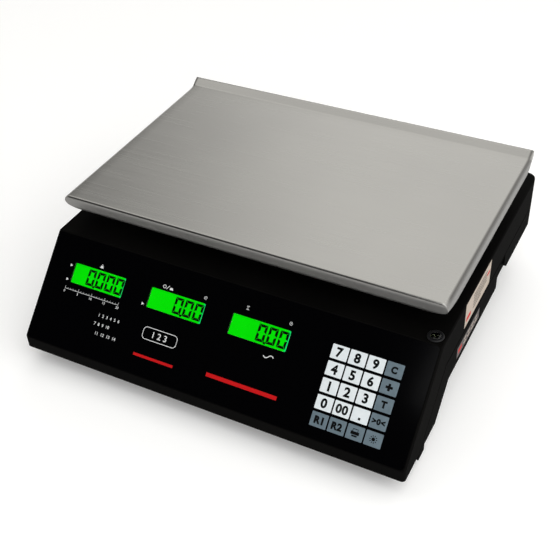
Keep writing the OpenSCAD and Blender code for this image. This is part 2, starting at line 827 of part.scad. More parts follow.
// Block between the load cell's live end and the pan support
module live_end_block() {
    color("#8d9093") translate([cell_end, pan_mid, live_z]) difference() {
        span([-block_l / 2, -cell_w / 2, 0], [block_l / 2, cell_w / 2, live_h]);
        for (dx = cell_holes) translate([dx, 0, 0]) hole(cell_bolt_hole, 0, live_h);
    }
}

// Two screws down through the pan support and the block into the live end
module live_end_screws() {
    clamped = live_h + arm_t;
    color("#77797c") for (dx = cell_holes) translate([cell_end + dx, pan_mid, live_z]) {
        translate([0, 0, -cell_bolt_grip]) cylinder(d = cell_bolt_d, h = cell_bolt_grip + clamped + over);
        translate([0, 0, clamped]) cylinder(d = bolt_head_d, h = bolt_head_h);
    }
}

// Cast spider: a middle plate, four arms and the posts that rise through the deck
module pan_support() {
    arm_l = norm([post_x, post_y]);
    color("#8f9294") difference() {
        union() {
            translate([0, pan_mid, arm_z]) linear_extrude(arm_t) {
                square([cell_l, cell_w + post_flange], center = true);
                for (sx = [-1, 1]) for (sy = [-1, 1]) rotate(atan2(sy * post_y, sx * post_x))
                    translate([0, -arm_w / 2]) square([arm_l, arm_w]);
                for (p = post_places) translate([p[0], p[1] - pan_mid]) circle(d = post_d + 2 * post_flange);
            }
            for (p = post_places) translate([p[0], p[1], arm_z]) cylinder(d = post_d, h = post_top - arm_z);
        }
        for (dx = cell_holes) translate([cell_end + dx, pan_mid, arm_z]) hole(cell_bolt_hole, 0, arm_t);
    }
}

// Rubber caps over the posts
module pan_cushions() {
    color("#222224") for (p = post_places) translate([p[0], p[1], post_top]) difference() {
        translate([0, 0, -cap_skirt]) cylinder(d = post_d + 2 * cap_wall, h = cap_skirt + cushion_t);
        translate([0, 0, -cap_skirt - over]) cylinder(d = post_d + 2 * fit, h = cap_skirt + over);
    }
}

// Quarter round of a fold, from the top face to the flange
function fold(y, z, r) = [for (k = [0:arc_steps])
    [y + r * (1 - sin(90 * k / arc_steps)), z - r * (1 - cos(90 * k / arc_steps))]];

// The same quarter round on the right, from the flange up to the top face
function far_fold(w, z, r) = [for (k = [arc_steps:-1:0]) let (p = fold(-w, z, r)[k]) [-p[0], p[1]]];

// The pan's outer form drawn in by an inset, reaching down to a level
module pan_form(inset, low, back) {
    r = pan_bend - inset;
    side_r = side_bend - inset;
    w = pan_w / 2 - inset;
    z = pan_top - inset;
    y = pan_y + inset;
    intersection() {
        along_x(pan_w) polygon(concat(fold(y, z, r), [[y, low], [back, low], [back, z]]));
        translate([0, back, 0]) rotate([90, 0, 0]) linear_extrude(back - pan_y)
            polygon(concat(fold(-w, z, side_r), [[-w, low], [w, low]], far_fold(w, z, side_r)));
    }
}

// Side outline of the turned-up lip, mitred to the deck that it rises from
function lip_outline() =
    let (along = [cos(lip_angle), sin(lip_angle)], under = pan_t * [sin(lip_angle), -cos(lip_angle)],
        root = [pan_fold, pan_top])
    [root - [pan_bend, pan_t], root - [pan_bend, 0], root, root + lip_l * along, root + lip_l * along + under,
    root + [pan_t * tan(lip_angle / 2), -pan_t]];

// Folded stainless pan: deck, three flanges, turned-up rear lip and four locating rings
module weighing_pan() {
    ring_d = post_d + 2 * cap_wall + 2 * ring_clear;
    color("#a9a8a3") {
        difference() {
            pan_form(0, pan_top - pan_flange, pan_fold);
            pan_form(pan_t, pan_top - pan_flange - over, pan_fold + over);
        }
        intersection() {
            along_x(pan_w) polygon(lip_outline());
            translate([0, pan_mid, 0]) linear_extrude(2 * pan_top)
                round_rect(pan_w - 2 * lip_side, pan_d + 2 * lip_l * cos(lip_angle), lip_r);
        }
        for (p = post_places) translate([p[0], p[1], pan_under - ring_h]) difference() {
            cylinder(d = ring_d + 2 * ring_wall, h = ring_h + pan_t / 2);
            translate([0, 0, -over]) cylinder(d = ring_d, h = ring_h + over);
        }
    }
}

// Brass inserts pressed into the foot bosses
module foot_inserts() {
    color("#b58d3d") for (p = foot_places) on_floor(p) translate([0, 0, foot_boss_h - insert_l])
        difference() {
            cylinder(d = insert_d, h = insert_l);
            hole(stem_d + 2 * fit, 0, insert_l);
        }
}

// Threaded stem of one foot with its collar under the base
module foot_stem(i) {
    p = foot_places[i];
    color("#9a9c9e") translate([p[0], p[1], 0]) {
        translate([0, 0, stem_end])
            cylinder(d = stem_d, h = base_bottom + foot_boss_h + stem_spare - stem_end);
        translate([0, 0, pad_h + stem_gap]) cylinder(d = stem_d + 2 * stem_collar, h = stem_collar_h);
    }
}

// Rubber pad of one foot, fluted round its rim, on which the stem turns
module foot_pad(i) {
    p = foot_places[i];
    r = pad_d / 2;
    color("#1c1c1d") translate([p[0], p[1], 0]) difference() {
        rotate_extrude() polygon([[0, 0], [r - pad_chamfer, 0], [r, pad_chamfer], [r, pad_h - pad_edge],
            [r - pad_edge, pad_h], [0, pad_h]]);
        translate([0, 0, stem_end - stem_gap]) cylinder(d = stem_d + 2 * stem_gap, h = pad_h);
        for (k = [0:flutes - 1]) rotate(k * 360 / flutes) translate([r + flute_d / 4, 0, 0])
            hole(flute_d, 0, pad_h);
    }
}

// Screws from below through the base's bosses into the top's bosses
module housing_screws() {
    color("#77797c") for (p = screw_places) translate([p[0], p[1], boss_split - screw_web]) {
        translate([0, 0, -screw_head_h]) cylinder(d = screw_head_d, h = screw_head_h);
        translate([0, 0, -over]) cylinder(d = screw_d, h = screw_web + screw_reach);
    }
}

// Small screws of the three boards
module board_screw() {
    translate([0, 0, -board_screw_l]) cylinder(d = board_screw_d, h = board_screw_l + board_t);
    translate([0, 0, board_t]) cylinder(d = board_head_d, h = board_head_h);
}

module board_screws() {
    color("#77797c") {
        for (p = board_bosses) translate([p[0], p[1], floor_z + main_board_lift]) board_screw();
        on_panel() for (p = display_bosses) translate([p[0], p[1], front_board_z])
            rotate([180, 0, 0]) board_screw();
        on_rear() for (p = rear_bosses) translate([p[0], p[1], front_board_z])
            rotate([180, 0, 0]) board_screw();
    }
}

base_housing();
top_housing();
panel_overlay();
keypad_sheet();
front_windows();
front_lcds();
display_board();
rear_windows();
rear_lcds();
rear_board();
main_board();
battery();
battery_strap();
mains_transformer();
power_inlet();
switch_frame();
switch_rocker();
level_cup();
level_vial();
load_cell();
load_cell_mount();
fixed_end_screws();
overload_stop();
live_end_block();
live_end_screws();
pan_support();
pan_cushions();
weighing_pan();
foot_inserts();
housing_screws();
board_screws();
for (i = [0:3]) foot_stem(i);
for (i = [0:3]) foot_pad(i);
for (i = [0:19]) key(i);
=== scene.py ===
import json

import bmesh
import bpy
import numpy as np
from mathutils import Matrix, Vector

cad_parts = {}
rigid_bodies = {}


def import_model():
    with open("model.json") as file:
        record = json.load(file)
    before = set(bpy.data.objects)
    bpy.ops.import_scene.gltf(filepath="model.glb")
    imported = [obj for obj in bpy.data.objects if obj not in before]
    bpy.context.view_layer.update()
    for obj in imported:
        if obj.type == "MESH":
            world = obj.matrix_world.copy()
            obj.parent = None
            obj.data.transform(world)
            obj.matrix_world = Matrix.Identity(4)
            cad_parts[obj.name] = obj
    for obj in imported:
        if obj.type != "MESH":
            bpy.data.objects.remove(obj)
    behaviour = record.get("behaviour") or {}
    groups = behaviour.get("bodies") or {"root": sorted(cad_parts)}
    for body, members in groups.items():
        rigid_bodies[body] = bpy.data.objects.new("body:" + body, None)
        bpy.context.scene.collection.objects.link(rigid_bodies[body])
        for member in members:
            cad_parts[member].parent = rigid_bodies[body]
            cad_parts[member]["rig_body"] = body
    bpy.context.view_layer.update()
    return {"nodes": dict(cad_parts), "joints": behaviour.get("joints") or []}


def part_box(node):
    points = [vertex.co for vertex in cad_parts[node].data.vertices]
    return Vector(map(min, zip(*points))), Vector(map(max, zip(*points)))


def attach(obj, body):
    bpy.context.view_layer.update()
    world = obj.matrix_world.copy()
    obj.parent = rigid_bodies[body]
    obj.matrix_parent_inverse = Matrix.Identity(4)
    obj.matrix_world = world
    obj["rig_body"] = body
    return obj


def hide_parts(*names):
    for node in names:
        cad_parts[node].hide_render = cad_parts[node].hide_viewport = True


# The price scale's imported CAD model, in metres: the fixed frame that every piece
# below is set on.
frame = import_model()
scene = bpy.context.scene
scene.view_settings.view_transform = "Standard"


# Camera: the photograph's viewpoint, found by fitting a pinhole camera to the
# pan, the panel and the keys. It looks down at the front right corner.
view_from = (0.31727, -0.59470, 0.58517)
yaw, pitch, roll = np.radians([-28.743, 39.458, -2.604])
ahead = np.array([np.sin(yaw) * np.cos(pitch), np.cos(yaw) * np.cos(pitch), -np.sin(pitch)])
level_right = np.cross(ahead, (0, 0, 1))
level_right /= np.linalg.norm(level_right)
level_up = np.cross(level_right, ahead)
camera_right = np.cos(roll) * level_right + np.sin(roll) * level_up
camera_up = np.cos(roll) * level_up - np.sin(roll) * level_right
camera = bpy.data.objects.new("camera", bpy.data.cameras.new("camera"))
camera.data.sensor_width = 36.0
camera.data.lens = 62.35
stance = np.eye(4)
stance[:3] = np.column_stack([camera_right, camera_up, -ahead, view_from])
camera.matrix_world = Matrix(stance.tolist())
scene.collection.objects.link(camera)
scene.camera = camera


# Studio: a pale floor in a pale room under soft lamps. Two black flags stand where
# the glossy panel and the left end of the pan mirror them, as in the photograph.
def linear(code):
    """sRGB hex such as "a9a8a3" as linear red, green, blue and alpha."""
    channel = np.array([int(code[i:i + 2], 16) for i in (0, 2, 4)]) / 255
    return (*np.where(channel <= 0.04045, channel / 12.92, ((channel + 0.055) / 1.055) ** 2.4), 1.0)


def add(tree, kind, sockets=(), **settings):
    """Adds a shader node: settings are its own properties, sockets its inputs. An input gets a value, an
    output to link, or a node whose first output is linked. A Mix has its share at input 0; it takes
    numbers at 2 and 3, or colours at 6 and 7 with their mixture at output 2."""
    made = tree.nodes.new("ShaderNode" + kind)
    for name, value in settings.items():
        setattr(made, name, value)
    for key, value in dict(sockets).items():
        if isinstance(value, bpy.types.Node):
            value = value.outputs[0]
        if isinstance(value, bpy.types.NodeSocket):
            tree.links.new(value, made.inputs[key])
        else:
            made.inputs[key].default_value = value
    return made


def new_finish(name):
    """A material, its tree, and in that the object coordinates that its patterns read."""
    made = bpy.data.materials.new(name)
    made.use_nodes = True
    made.node_tree.nodes.clear()
    return made, made.node_tree, add(made.node_tree, "TexCoord").outputs["Object"]


def skin(name, points, wrapped=False, capped=False, crease=35):
    """A mesh over a grid of points, rows by columns: neighbours make quads, ends are closed where asked."""
    rows, columns = points.shape[:2]
    number = np.arange(rows * columns).reshape(rows, columns)
    loop = np.concatenate([number, number[:, :1]], axis=1) if wrapped else number
    quads = np.stack([loop[:-1, :-1], loop[:-1, 1:], loop[1:, 1:], loop[1:, :-1]], axis=-1)
    faces = quads.reshape(-1, 4).tolist()
    if capped:
        faces += [number[0, ::-1].tolist(), number[-1].tolist()]
    mesh = bpy.data.meshes.new(name)
    mesh.from_pydata(points.reshape(-1, 3).tolist(), [], faces)
    mesh.shade_smooth()
    mesh.set_sharp_from_angle(angle=np.radians(crease))
    piece = bpy.data.objects.new(name, mesh)
    scene.collection.objects.link(piece)
    return piece


floor_half, floor_glow = 30.0, 0.17
floor_steps = np.linspace(-floor_half, floor_half, 13)
floor_x, floor_y = np.meshgrid(floor_steps, floor_steps)
floor = skin("floor", np.stack([floor_x, floor_y, 0 * floor_x], axis=-1))
pale_floor, tree, _ = new_finish("pale_floor")
path = add(tree, "LightPath")
seen = add(tree, "Math", {0: path.outputs["Is Camera Ray"], 1: path.outputs["Is Glossy Ray"]},
           operation="MAXIMUM")
seen = add(tree, "Math", {0: seen, 1: path.outputs["Is Transmission Ray"]}, operation="MAXIMUM")
lift = add(tree, "Math", {0: seen, 1: floor_glow}, operation="MULTIPLY")
paint = add(tree, "BsdfDiffuse", {"Color": linear("f4f4f4")})
glow = add(tree, "Emission", {"Color": linear("ffffff"), "Strength": lift})
both = add(tree, "AddShader", {0: paint, 1: glow})
add(tree, "OutputMaterial", {"Surface": both})
floor.data.materials.append(pale_floor)

# The room's light is dimmer at the front than at the back, and even white along the skyline.
world = bpy.data.worlds.new("studio")
world.use_nodes = True
tree = world.node_tree
tree.nodes.clear()
outward = add(tree, "TexCoord").outputs["Generated"]
heading = add(tree, "SeparateXYZ", {0: outward})
level = add(tree, "MapRange", {"Value": heading.outputs["Y"], "From Min": -0.45, "From Max": 0.3,
                               "To Min": 0.55, "To Max": 1.2}, interpolation_type="SMOOTHSTEP")
# Two black flags: the way each lies, the cosines where it begins and is full, and the light left there.
flags = [((-0.40, -0.68, 0.61), 0.80, 0.95, 0.04), ((-0.80, 0.45, 0.40), 0.83, 0.99, 0.2)]
for flag_way, begins, full, light_left in flags:
    toward = add(tree, "VectorMath", {0: outward, 1: flag_way}, operation="DOT_PRODUCT")
    shade = add(tree, "MapRange", {"Value": toward.outputs["Value"], "From Min": begins,
                                   "From Max": full, "To Min": 1.0, "To Max": light_left},
                interpolation_type="SMOOTHSTEP")
    level = add(tree, "Math", {0: level, 1: shade}, operation="MULTIPLY")
skyline = add(tree, "MapRange", {"Value": heading.outputs["Z"], "From Min": 0.04, "From Max": 0.3,
                                 "To Min": 1.0, "To Max": 0.0}, interpolation_type="SMOOTHSTEP")
level = add(tree, "Mix", {0: skyline, 2: level, 3: 1.0})
sky = add(tree, "Background", {"Color": linear("fffefb"), "Strength": level})
add(tree, "OutputWorld", {"Surface": sky})
scene.world = world

# Each soft lamp by its place, its size and its power in watts; it faces the object.
lamps = {
    "key_softbox": ((0.7, -0.9, 1.5), (1.8, 1.8), 12.0),
    "side_softbox": ((1.4, -0.3, 0.9), (1.0, 1.0), 4.0),
}
for lamp_name, (lamp_at, lamp_size, lamp_power) in lamps.items():
    lamp = bpy.data.objects.new(lamp_name, bpy.data.lights.new(lamp_name, "AREA"))
    lamp.data.shape = "RECTANGLE"
    lamp.data.size, lamp.data.size_y = lamp_size
    lamp.data.energy = lamp_power
    back = np.array(lamp_at) / np.linalg.norm(lamp_at)
    side = np.cross((0, 1, 0.001), back)
    side /= np.linalg.norm(side)
    stance = np.eye(4)
    stance[:3] = np.column_stack([side, np.cross(back, side), back, lamp_at])
    lamp.matrix_world = Matrix(stance.tolist())
    scene.collection.objects.link(lamp)


# Base housing: the lower half of the case, a tray of black ABS from a
# spark-eroded mould, so it is dull and finely pebbled. Its rim meets the top
# housing at a shadow groove, and screws from below hold the two together.
merge_gap = 1e-6
flat_angle, sharp_angle = np.radians([0.5, 32])


def softened(node, edge):
    """A copy of a CAD node: doubled points merged, flat areas joined, sharp edges rounded by a bevel."""
    shape = bmesh.new()
    shape.from_mesh(frame["nodes"][node].data)
    bmesh.ops.remove_doubles(shape, verts=shape.verts, dist=merge_gap)
    bmesh.ops.dissolve_limit(shape, angle_limit=flat_angle, verts=shape.verts, edges=shape.edges)
    mesh = bpy.data.meshes.new(node + "_finished")
    shape.to_mesh(mesh)
    shape.free()
    # The normals that came with the CAD mesh don't fit the joined faces, so they go.
    if "custom_normal" in mesh.attributes:
        mesh.attributes.remove(mesh.attributes["custom_normal"])
    mesh.shade_smooth()
    piece = bpy.data.objects.new(node + "_finished", mesh)
    scene.collection.objects.link(piece)
    rounding = piece.modifiers.new("edge", "BEVEL")
    rounding.width = edge
    rounding.segments = 2
    rounding.limit_method = "ANGLE"
    rounding.angle_limit = sharp_angle
    rounding.harden_normals = True
    return piece


def carried(piece, body, finish):
    """The piece takes its finish and rides on a body."""
    piece.data.materials.clear()
    piece.data.materials.append(finish)
    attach(piece, body)


def stand_for(piece, node, finish):
    """The piece rides on a CAD node's body and is shown in the node's place."""
    carried(piece, frame["nodes"][node]["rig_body"], finish)
    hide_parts(node)


def dressed(node, finish, edge):
    """A copy of a CAD node with softened edges, in its finish, shown in the node's place."""
    piece = softened(node, edge)
    stand_for(piece, node, finish)
    return piece


# Moulded ABS: nearly black, warm in the light, its pits breaking up most of the
# shine, with a 1.2 mm pebble drawn coarser than the real 0.2 mm so that it shows.
abs_black, tree, spot = new_finish("moulded_abs_black")
pebble = add(tree, "TexNoise", {"Vector": spot, "Scale": 1 / 0.0012, "Detail": 2.0})
cloud = add(tree, "TexNoise", {"Vector": spot, "Scale": 1 / 0.06, "Detail": 3.0})
tone = add(tree, "Mix", {0: cloud, 6: linear("050505"), 7: linear("0c0b0a")}, data_type="RGBA")
dull = add(tree, "MapRange", {"Value": pebble, "From Min": 0.3, "From Max": 0.7, "To Min": 0.7,
                              "To Max": 0.9})
relief = add(tree, "Bump", {"Height": pebble, "Distance": 0.00004, "Strength": 0.5})
shell = add(tree, "BsdfPrincipled", {"Base Color": tone.outputs[2], "Roughness": dull, "Normal": relief,
                                     "Specular IOR Level": 0.0, "Coat Weight": 0.05,
                                     "Coat Roughness": 0.42, "Coat Normal": relief})
add(tree, "OutputMaterial", {"Surface": shell})

dressed("base_housing", abs_black, edge=0.0004)


# Levelling feet: a zinc-plated stem with a rolled thread that turns in a brass
# insert, its collar let into a fluted rubber pad that stays still on the table.
# Zinc plate: pale blue-grey metal with a faint cloudy passivation.
zinc_steel, tree, spot = new_finish("zinc_plated_steel")
bloom = add(tree, "TexNoise", {"Vector": spot, "Scale": 1 / 0.006, "Detail": 4.0})
tone = add(tree, "Mix", {0: bloom, 6: linear("9a9ea3"), 7: linear("c9cbcb")}, data_type="RGBA")
dull = add(tree, "MapRange", {"Value": bloom, "To Min": 0.22, "To Max": 0.42})
plate = add(tree, "BsdfPrincipled", {"Base Color": tone.outputs[2], "Roughness": dull, "Metallic": 1.0})
add(tree, "OutputMaterial", {"Surface": plate})

# Moulded rubber: dark grey, matt, with a fine bloom of dust.
rubber_black, tree, spot = new_finish("moulded_rubber")
dust = add(tree, "TexNoise", {"Vector": spot, "Scale": 1 / 0.002, "Detail": 4.0})
tone = add(tree, "Mix", {0: dust, 6: linear("161616"), 7: linear("2b2a29")}, data_type="RGBA")
relief = add(tree, "Bump", {"Height": dust, "Distance": 0.00005, "Strength": 0.4})
moulding = add(tree, "BsdfPrincipled", {"Base Color": tone.outputs[2], "Roughness": 0.75,
                                        "Normal": relief})
add(tree, "OutputMaterial", {"Surface": moulding})

# Free-cutting brass: warm yellow, turned, with fine rings round the axis.
brass, tree, spot = new_finish("turned_brass")
turning = add(tree, "TexWave", {"Vector": spot, "Scale": 1 / 0.006, "Distortion": 1.5},
              bands_direction="Z")
tone = add(tree, "Mix", {0: turning.outputs[1], 6: linear("a5803a"), 7: linear("c8a557")},
           data_type="RGBA")
turned_brass = add(tree, "BsdfPrincipled", {"Base Color": tone.outputs[2], "Roughness": 0.3,
                                            "Metallic": 1.0})
add(tree, "OutputMaterial", {"Surface": turned_brass})

stem_r = 0.004
collar_r = 0.008
collar_z = (0.0063, 0.0080)
collar_edge = 0.0004
thread_pitch = 0.0015
thread_depth = 0.0008
thread_steps = 8
turns_round = np.linspace(0, 2 * np.pi, 36, endpoint=False)
for corner in ("front_left", "rear_left", "front_right", "rear_right"):
    stem_low, stem_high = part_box("foot_stem_" + corner)
    thread_z = np.arange(collar_z[1], stem_high.z, thread_pitch / thread_steps)
    stem_z = np.concatenate([[stem_low.z, collar_z[0], collar_z[0], collar_z[0] + collar_edge,
                              collar_z[1] - collar_edge, collar_z[1]], thread_z, [stem_high.z]])
    collar_top_r = collar_r - collar_edge
    plain_r = np.concatenate([[stem_r, stem_r, collar_top_r, collar_r, collar_r, collar_top_r],
                              np.full(len(thread_z) + 1, stem_r)])
    cut = np.where((stem_z > collar_z[1]) | (plain_r < collar_top_r), thread_depth, 0.0)
    cut[:3] = 0.0
    # A 60 degree thread: the radius falls and rises once per pitch, turning with height.
    phase = (stem_z[:, None] / thread_pitch - turns_round / (2 * np.pi)) % 1.0
    stem_radius = plain_r[:, None] - cut[:, None] * np.abs(2 * phase - 1)
    stem_x = (stem_low.x + stem_high.x) / 2 + stem_radius * np.cos(turns_round)
    stem_y = (stem_low.y + stem_high.y) / 2 + stem_radius * np.sin(turns_round)
    stem = skin("threaded_stem_" + corner,
                np.stack([stem_x, stem_y, np.broadcast_to(stem_z[:, None], stem_x.shape)], axis=-1),
                wrapped=True, capped=True)
    stand_for(stem, "foot_stem_" + corner, zinc_steel)
    dressed("foot_pad_" + corner, rubber_black, edge=0.0004)
dressed("foot_inserts", brass, edge=0.0003)


# Load cell and its blocks: a milled aluminium bar on a block, with socket screws
# at both ends and a stop screw under the live end.
# Milled aluminium: pale, with the cutter's parallel feed marks 1 mm apart.
alloy, tree, spot = new_finish("milled_aluminium")
feed = add(tree, "TexWave", {"Vector": spot, "Scale": 1 / 0.003, "Distortion": 0.6, "Detail": 2.0})
cloud = add(tree, "TexNoise", {"Vector": spot, "Scale": 1 / 0.02, "Detail": 3.0})
tone = add(tree, "Mix", {0: cloud, 6: linear("a6a9ac"), 7: linear("c6c8ca")}, data_type="RGBA")
dull = add(tree, "MapRange", {"Value": feed.outputs[1], "To Min": 0.28, "To Max": 0.44})
relief = add(tree, "Bump", {"Height": feed.outputs[1], "Distance": 0.00002, "Strength": 0.4})
milled = add(tree, "BsdfPrincipled", {"Base Color": tone.outputs[2], "Roughness": dull, "Metallic": 1.0,
                                      "Normal": relief})
add(tree, "OutputMaterial", {"Surface": milled})

for block in ("load_cell", "load_cell_mount", "live_end_block"):
    dressed(block, alloy, edge=0.0006)
for fastener in ("fixed_end_screws", "live_end_screws", "overload_stop", "housing_screws", "board_screws"):
    dressed(fastener, zinc_steel, edge=0.0003)


# Pan support: a sand-cast aluminium spider whose posts rise through the deck,
# each capped by a rubber cushion that the pan rests on.
# Cast aluminium: grey, grainy and barely shiny.
cast_alloy, tree, spot = new_finish("cast_aluminium")
sand = add(tree, "TexNoise", {"Vector": spot, "Scale": 1 / 0.0015, "Detail": 5.0})
tone = add(tree, "Mix", {0: sand, 6: linear("7d8082"), 7: linear("a9abac")}, data_type="RGBA")
relief = add(tree, "Bump", {"Height": sand, "Distance": 0.00015, "Strength": 0.6})
casting = add(tree, "BsdfPrincipled", {"Base Color": tone.outputs[2], "Roughness": 0.55, "Metallic": 1.0,
                                       "Normal": relief})
add(tree, "OutputMaterial", {"Surface": casting})

dressed("pan_support", cast_alloy, edge=0.0012)
dressed("pan_cushions", rubber_black, edge=0.0012)


# Circuit boards: glass-epoxy under green solder mask, with tracks, and on the
# main board the black bodies of its processor, converter and connectors.
# Solder mask: glossy green, lighter over the copper tracks.
circuit_board, tree, spot = new_finish("solder_mask")
cells = add(tree, "TexVoronoi", {"Vector": spot, "Scale": 1 / 0.006}, distance="MANHATTAN",
            feature="DISTANCE_TO_EDGE")
track = add(tree, "MapRange", {"Value": cells, "From Min": 0.05, "From Max": 0.09, "To Min": 1.0,
                               "To Max": 0.0})
tone = add(tree, "Mix", {0: track, 6: linear("12502b"), 7: linear("2c7d47")}, data_type="RGBA")
mask = add(tree, "BsdfPrincipled", {"Base Color": tone.outputs[2], "Roughness": 0.3})
add(tree, "OutputMaterial", {"Surface": mask})


def second_finish(piece, chosen, finish):
    """The faces whose middles a test picks out take a second finish."""
    middles = np.zeros(len(piece.data.polygons) * 3)
    piece.data.polygons.foreach_get("center", middles)
    piece.data.materials.append(finish)
    piece.data.polygons.foreach_set("material_index", chosen(middles.reshape(-1, 3)).astype(np.int32))


# Chip bodies: black moulded epoxy, matt, with a fine grain of filler.
chip_black, tree, spot = new_finish("moulded_epoxy")
filler = add(tree, "TexNoise", {"Vector": spot, "Scale": 1 / 0.0008, "Detail": 3.0})
tone = add(tree, "Mix", {0: filler, 6: linear("151516"), 7: linear("262627")}, data_type="RGBA")
epoxy = add(tree, "BsdfPrincipled", {"Base Color": tone.outputs[2], "Roughness": 0.6})
add(tree, "OutputMaterial", {"Surface": epoxy})

board_t, chip_lift = 0.0016, 0.0001
board_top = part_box("main_board")[0].z + board_t
boards = {name: dressed(name, circuit_board, edge=0.0002)
          for name in ("main_board", "display_board", "rear_board")}
second_finish(boards["main_board"], lambda middle: middle[:, 2] > board_top + chip_lift, chip_black)


# Battery: a sealed lead battery in a grey ABS case, held to the floor by a
# zinc-plated strap.
# Battery case: smooth grey ABS with faint flow marks.
battery_case, tree, spot = new_finish("battery_abs_grey")
flow = add(tree, "TexNoise", {"Vector": spot, "Scale": 1 / 0.03, "Detail": 4.0, "Distortion": 1.0})
tone = add(tree, "Mix", {0: flow, 6: linear("35383c"), 7: linear("484c51")}, data_type="RGBA")
case = add(tree, "BsdfPrincipled", {"Base Color": tone.outputs[2], "Roughness": 0.4})
add(tree, "OutputMaterial", {"Surface": case})

tab_reach = 0.0015
tab_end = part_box("battery")[0].x + tab_reach
sealed_battery = dressed("battery", battery_case, edge=0.0004)
second_finish(sealed_battery, lambda middle: middle[:, 0] < tab_end, zinc_steel)
dressed("battery_strap", zinc_steel, edge=0.0003)


# Mains transformer: varnished steel laminations half a millimetre thick round a
# winding taped in yellow, with a foot plate.
# Laminations are drawn 1 mm apart so that the lines show; tape is semi-matt.
transformer_core, tree, spot = new_finish("laminated_core")
coil_low, coil_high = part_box("mains_transformer")
core_share = 0.27
sheets = add(tree, "TexWave", {"Vector": spot, "Scale": 1 / 0.003}, bands_direction="Y")
steel = add(tree, "Mix", {0: sheets.outputs[1], 6: linear("3d3a36"), 7: linear("6b665e")},
            data_type="RGBA")
depth = add(tree, "SeparateXYZ", {0: spot})
in_core = add(tree, "Math", {0: depth.outputs["Y"], 1: (coil_low.y + coil_high.y) / 2,
                             2: (coil_high.y - coil_low.y) * core_share}, operation="COMPARE")
tone = add(tree, "Mix", {0: in_core, 6: linear("c79a2e"), 7: steel.outputs[2]}, data_type="RGBA")
core = add(tree, "BsdfPrincipled", {"Base Color": tone.outputs[2], "Roughness": 0.45})
add(tree, "OutputMaterial", {"Surface": core})

dressed("mains_transformer", transformer_core, edge=0.0006)


# Power inlet and power switch: black nylon mouldings pushed into the tray's
# walls until their clips snap, the switch with a rocker on a cross pin.
# Glass-filled nylon: black, half-gloss, with a slight orange peel.
fitting_black, tree, spot = new_finish("nylon_black")
peel = add(tree, "TexNoise", {"Vector": spot, "Scale": 1 / 0.0025, "Detail": 2.0})
tone = add(tree, "Mix", {0: peel, 6: linear("0d0d0e"), 7: linear("1b1b1d")}, data_type="RGBA")
relief = add(tree, "Bump", {"Height": peel, "Distance": 0.00003, "Strength": 0.5})
nylon = add(tree, "BsdfPrincipled", {"Base Color": tone.outputs[2], "Roughness": 0.3, "Normal": relief,
                                     "Specular IOR Level": 0.2})
add(tree, "OutputMaterial", {"Surface": nylon})

fittings = {name: dressed(name, fitting_black, edge=0.0003)
            for name in ("power_inlet", "switch_frame", "switch_rocker")}
# The inlet's two contact pins, by their axes across and up, are plated.
inlet_low, inlet_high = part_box("power_inlet")
inlet_x, inlet_z = (inlet_low.x + inlet_high.x) / 2, (inlet_low.z + inlet_high.z) / 2
pin_off, pin_reach = 0.0043, 0.00125
pin_at = np.array([[inlet_x - pin_off, inlet_z], [inlet_x + pin_off, inlet_z]])


def on_pins(middle):
    """True for the faces close round the axis of a pin."""
    return np.linalg.norm(middle[:, None, ::2] - pin_at, axis=2).min(axis=1) < pin_reach


second_finish(fittings["power_inlet"], on_pins, zinc_steel)


# Top housing: the upper half of the case in the same black ABS, with the deck,
# the sloping panel, the lip and the side walls in one moulding.
dressed("top_housing", abs_black, edge=0.0005)


# Bubble level: a clear vial of yellow-green spirit in a black cup, let into the
# deck at the front right corner.
# Vial: clear acrylic over tinted spirit, with a bubble under its dome.
level_fluid, tree, spot = new_finish("level_spirit")
swirl = add(tree, "TexNoise", {"Vector": spot, "Scale": 1 / 0.004})
tone = add(tree, "Mix", {0: swirl, 6: linear("dff0b8"), 7: linear("edf7d0")}, data_type="RGBA")
spirit = add(tree, "BsdfPrincipled", {"Base Color": tone.outputs[2], "Roughness": 0.03, "IOR": 1.49,
                                      "Transmission Weight": 1.0})
add(tree, "OutputMaterial", {"Surface": spirit})

dressed("level_cup", fitting_black, edge=0.0002)
dressed("level_vial", level_fluid, edge=0.0002)

# The bubble: a flat drop of air under the dome, seen as a lens lighter than the spirit.
air_bubble, tree, spot = new_finish("level_air")
film_mark = add(tree, "TexNoise", {"Vector": spot, "Scale": 1 / 0.0005})
dull = add(tree, "MapRange", {"Value": film_mark, "To Min": 0.0, "To Max": 0.04})
air = add(tree, "BsdfPrincipled", {"Base Color": linear("fbffee"), "Roughness": dull, "IOR": 0.72,
                                   "Transmission Weight": 1.0})
add(tree, "OutputMaterial", {"Surface": air})
vial_low, vial_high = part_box("level_vial")
bubble_r, bubble_half, bubble_depth = 0.0014, 0.0005, 0.0010
bubble_middle = [(vial_low.x + vial_high.x) / 2, (vial_low.y + vial_high.y) / 2,
                 vial_high.z - bubble_depth]
rise_angle = np.linspace(-np.pi / 2, np.pi / 2, 14)[1:-1, None]
round_angle = np.linspace(0, 2 * np.pi, 32, endpoint=False)
bubble_points = np.stack([bubble_r * np.cos(rise_angle) * np.cos(round_angle),
                          bubble_r * np.cos(rise_angle) * np.sin(round_angle),
                          bubble_half * np.sin(rise_angle) + 0 * round_angle], axis=-1)
bubble = skin("level_bubble", bubble_points + bubble_middle, wrapped=True, capped=True, crease=60)
carried(bubble, "base", air_bubble)


# Displays: three clear acrylic windows let into the panel, and behind each a
# liquid crystal module lit from behind in green. Three more face the buyer.
slope = np.radians(45)
lip_top, deck_z = 0.02625, 0.0945
case_low, case_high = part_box("top_housing")
bend_y = case_low.y + (deck_z - lip_top) / np.tan(slope)


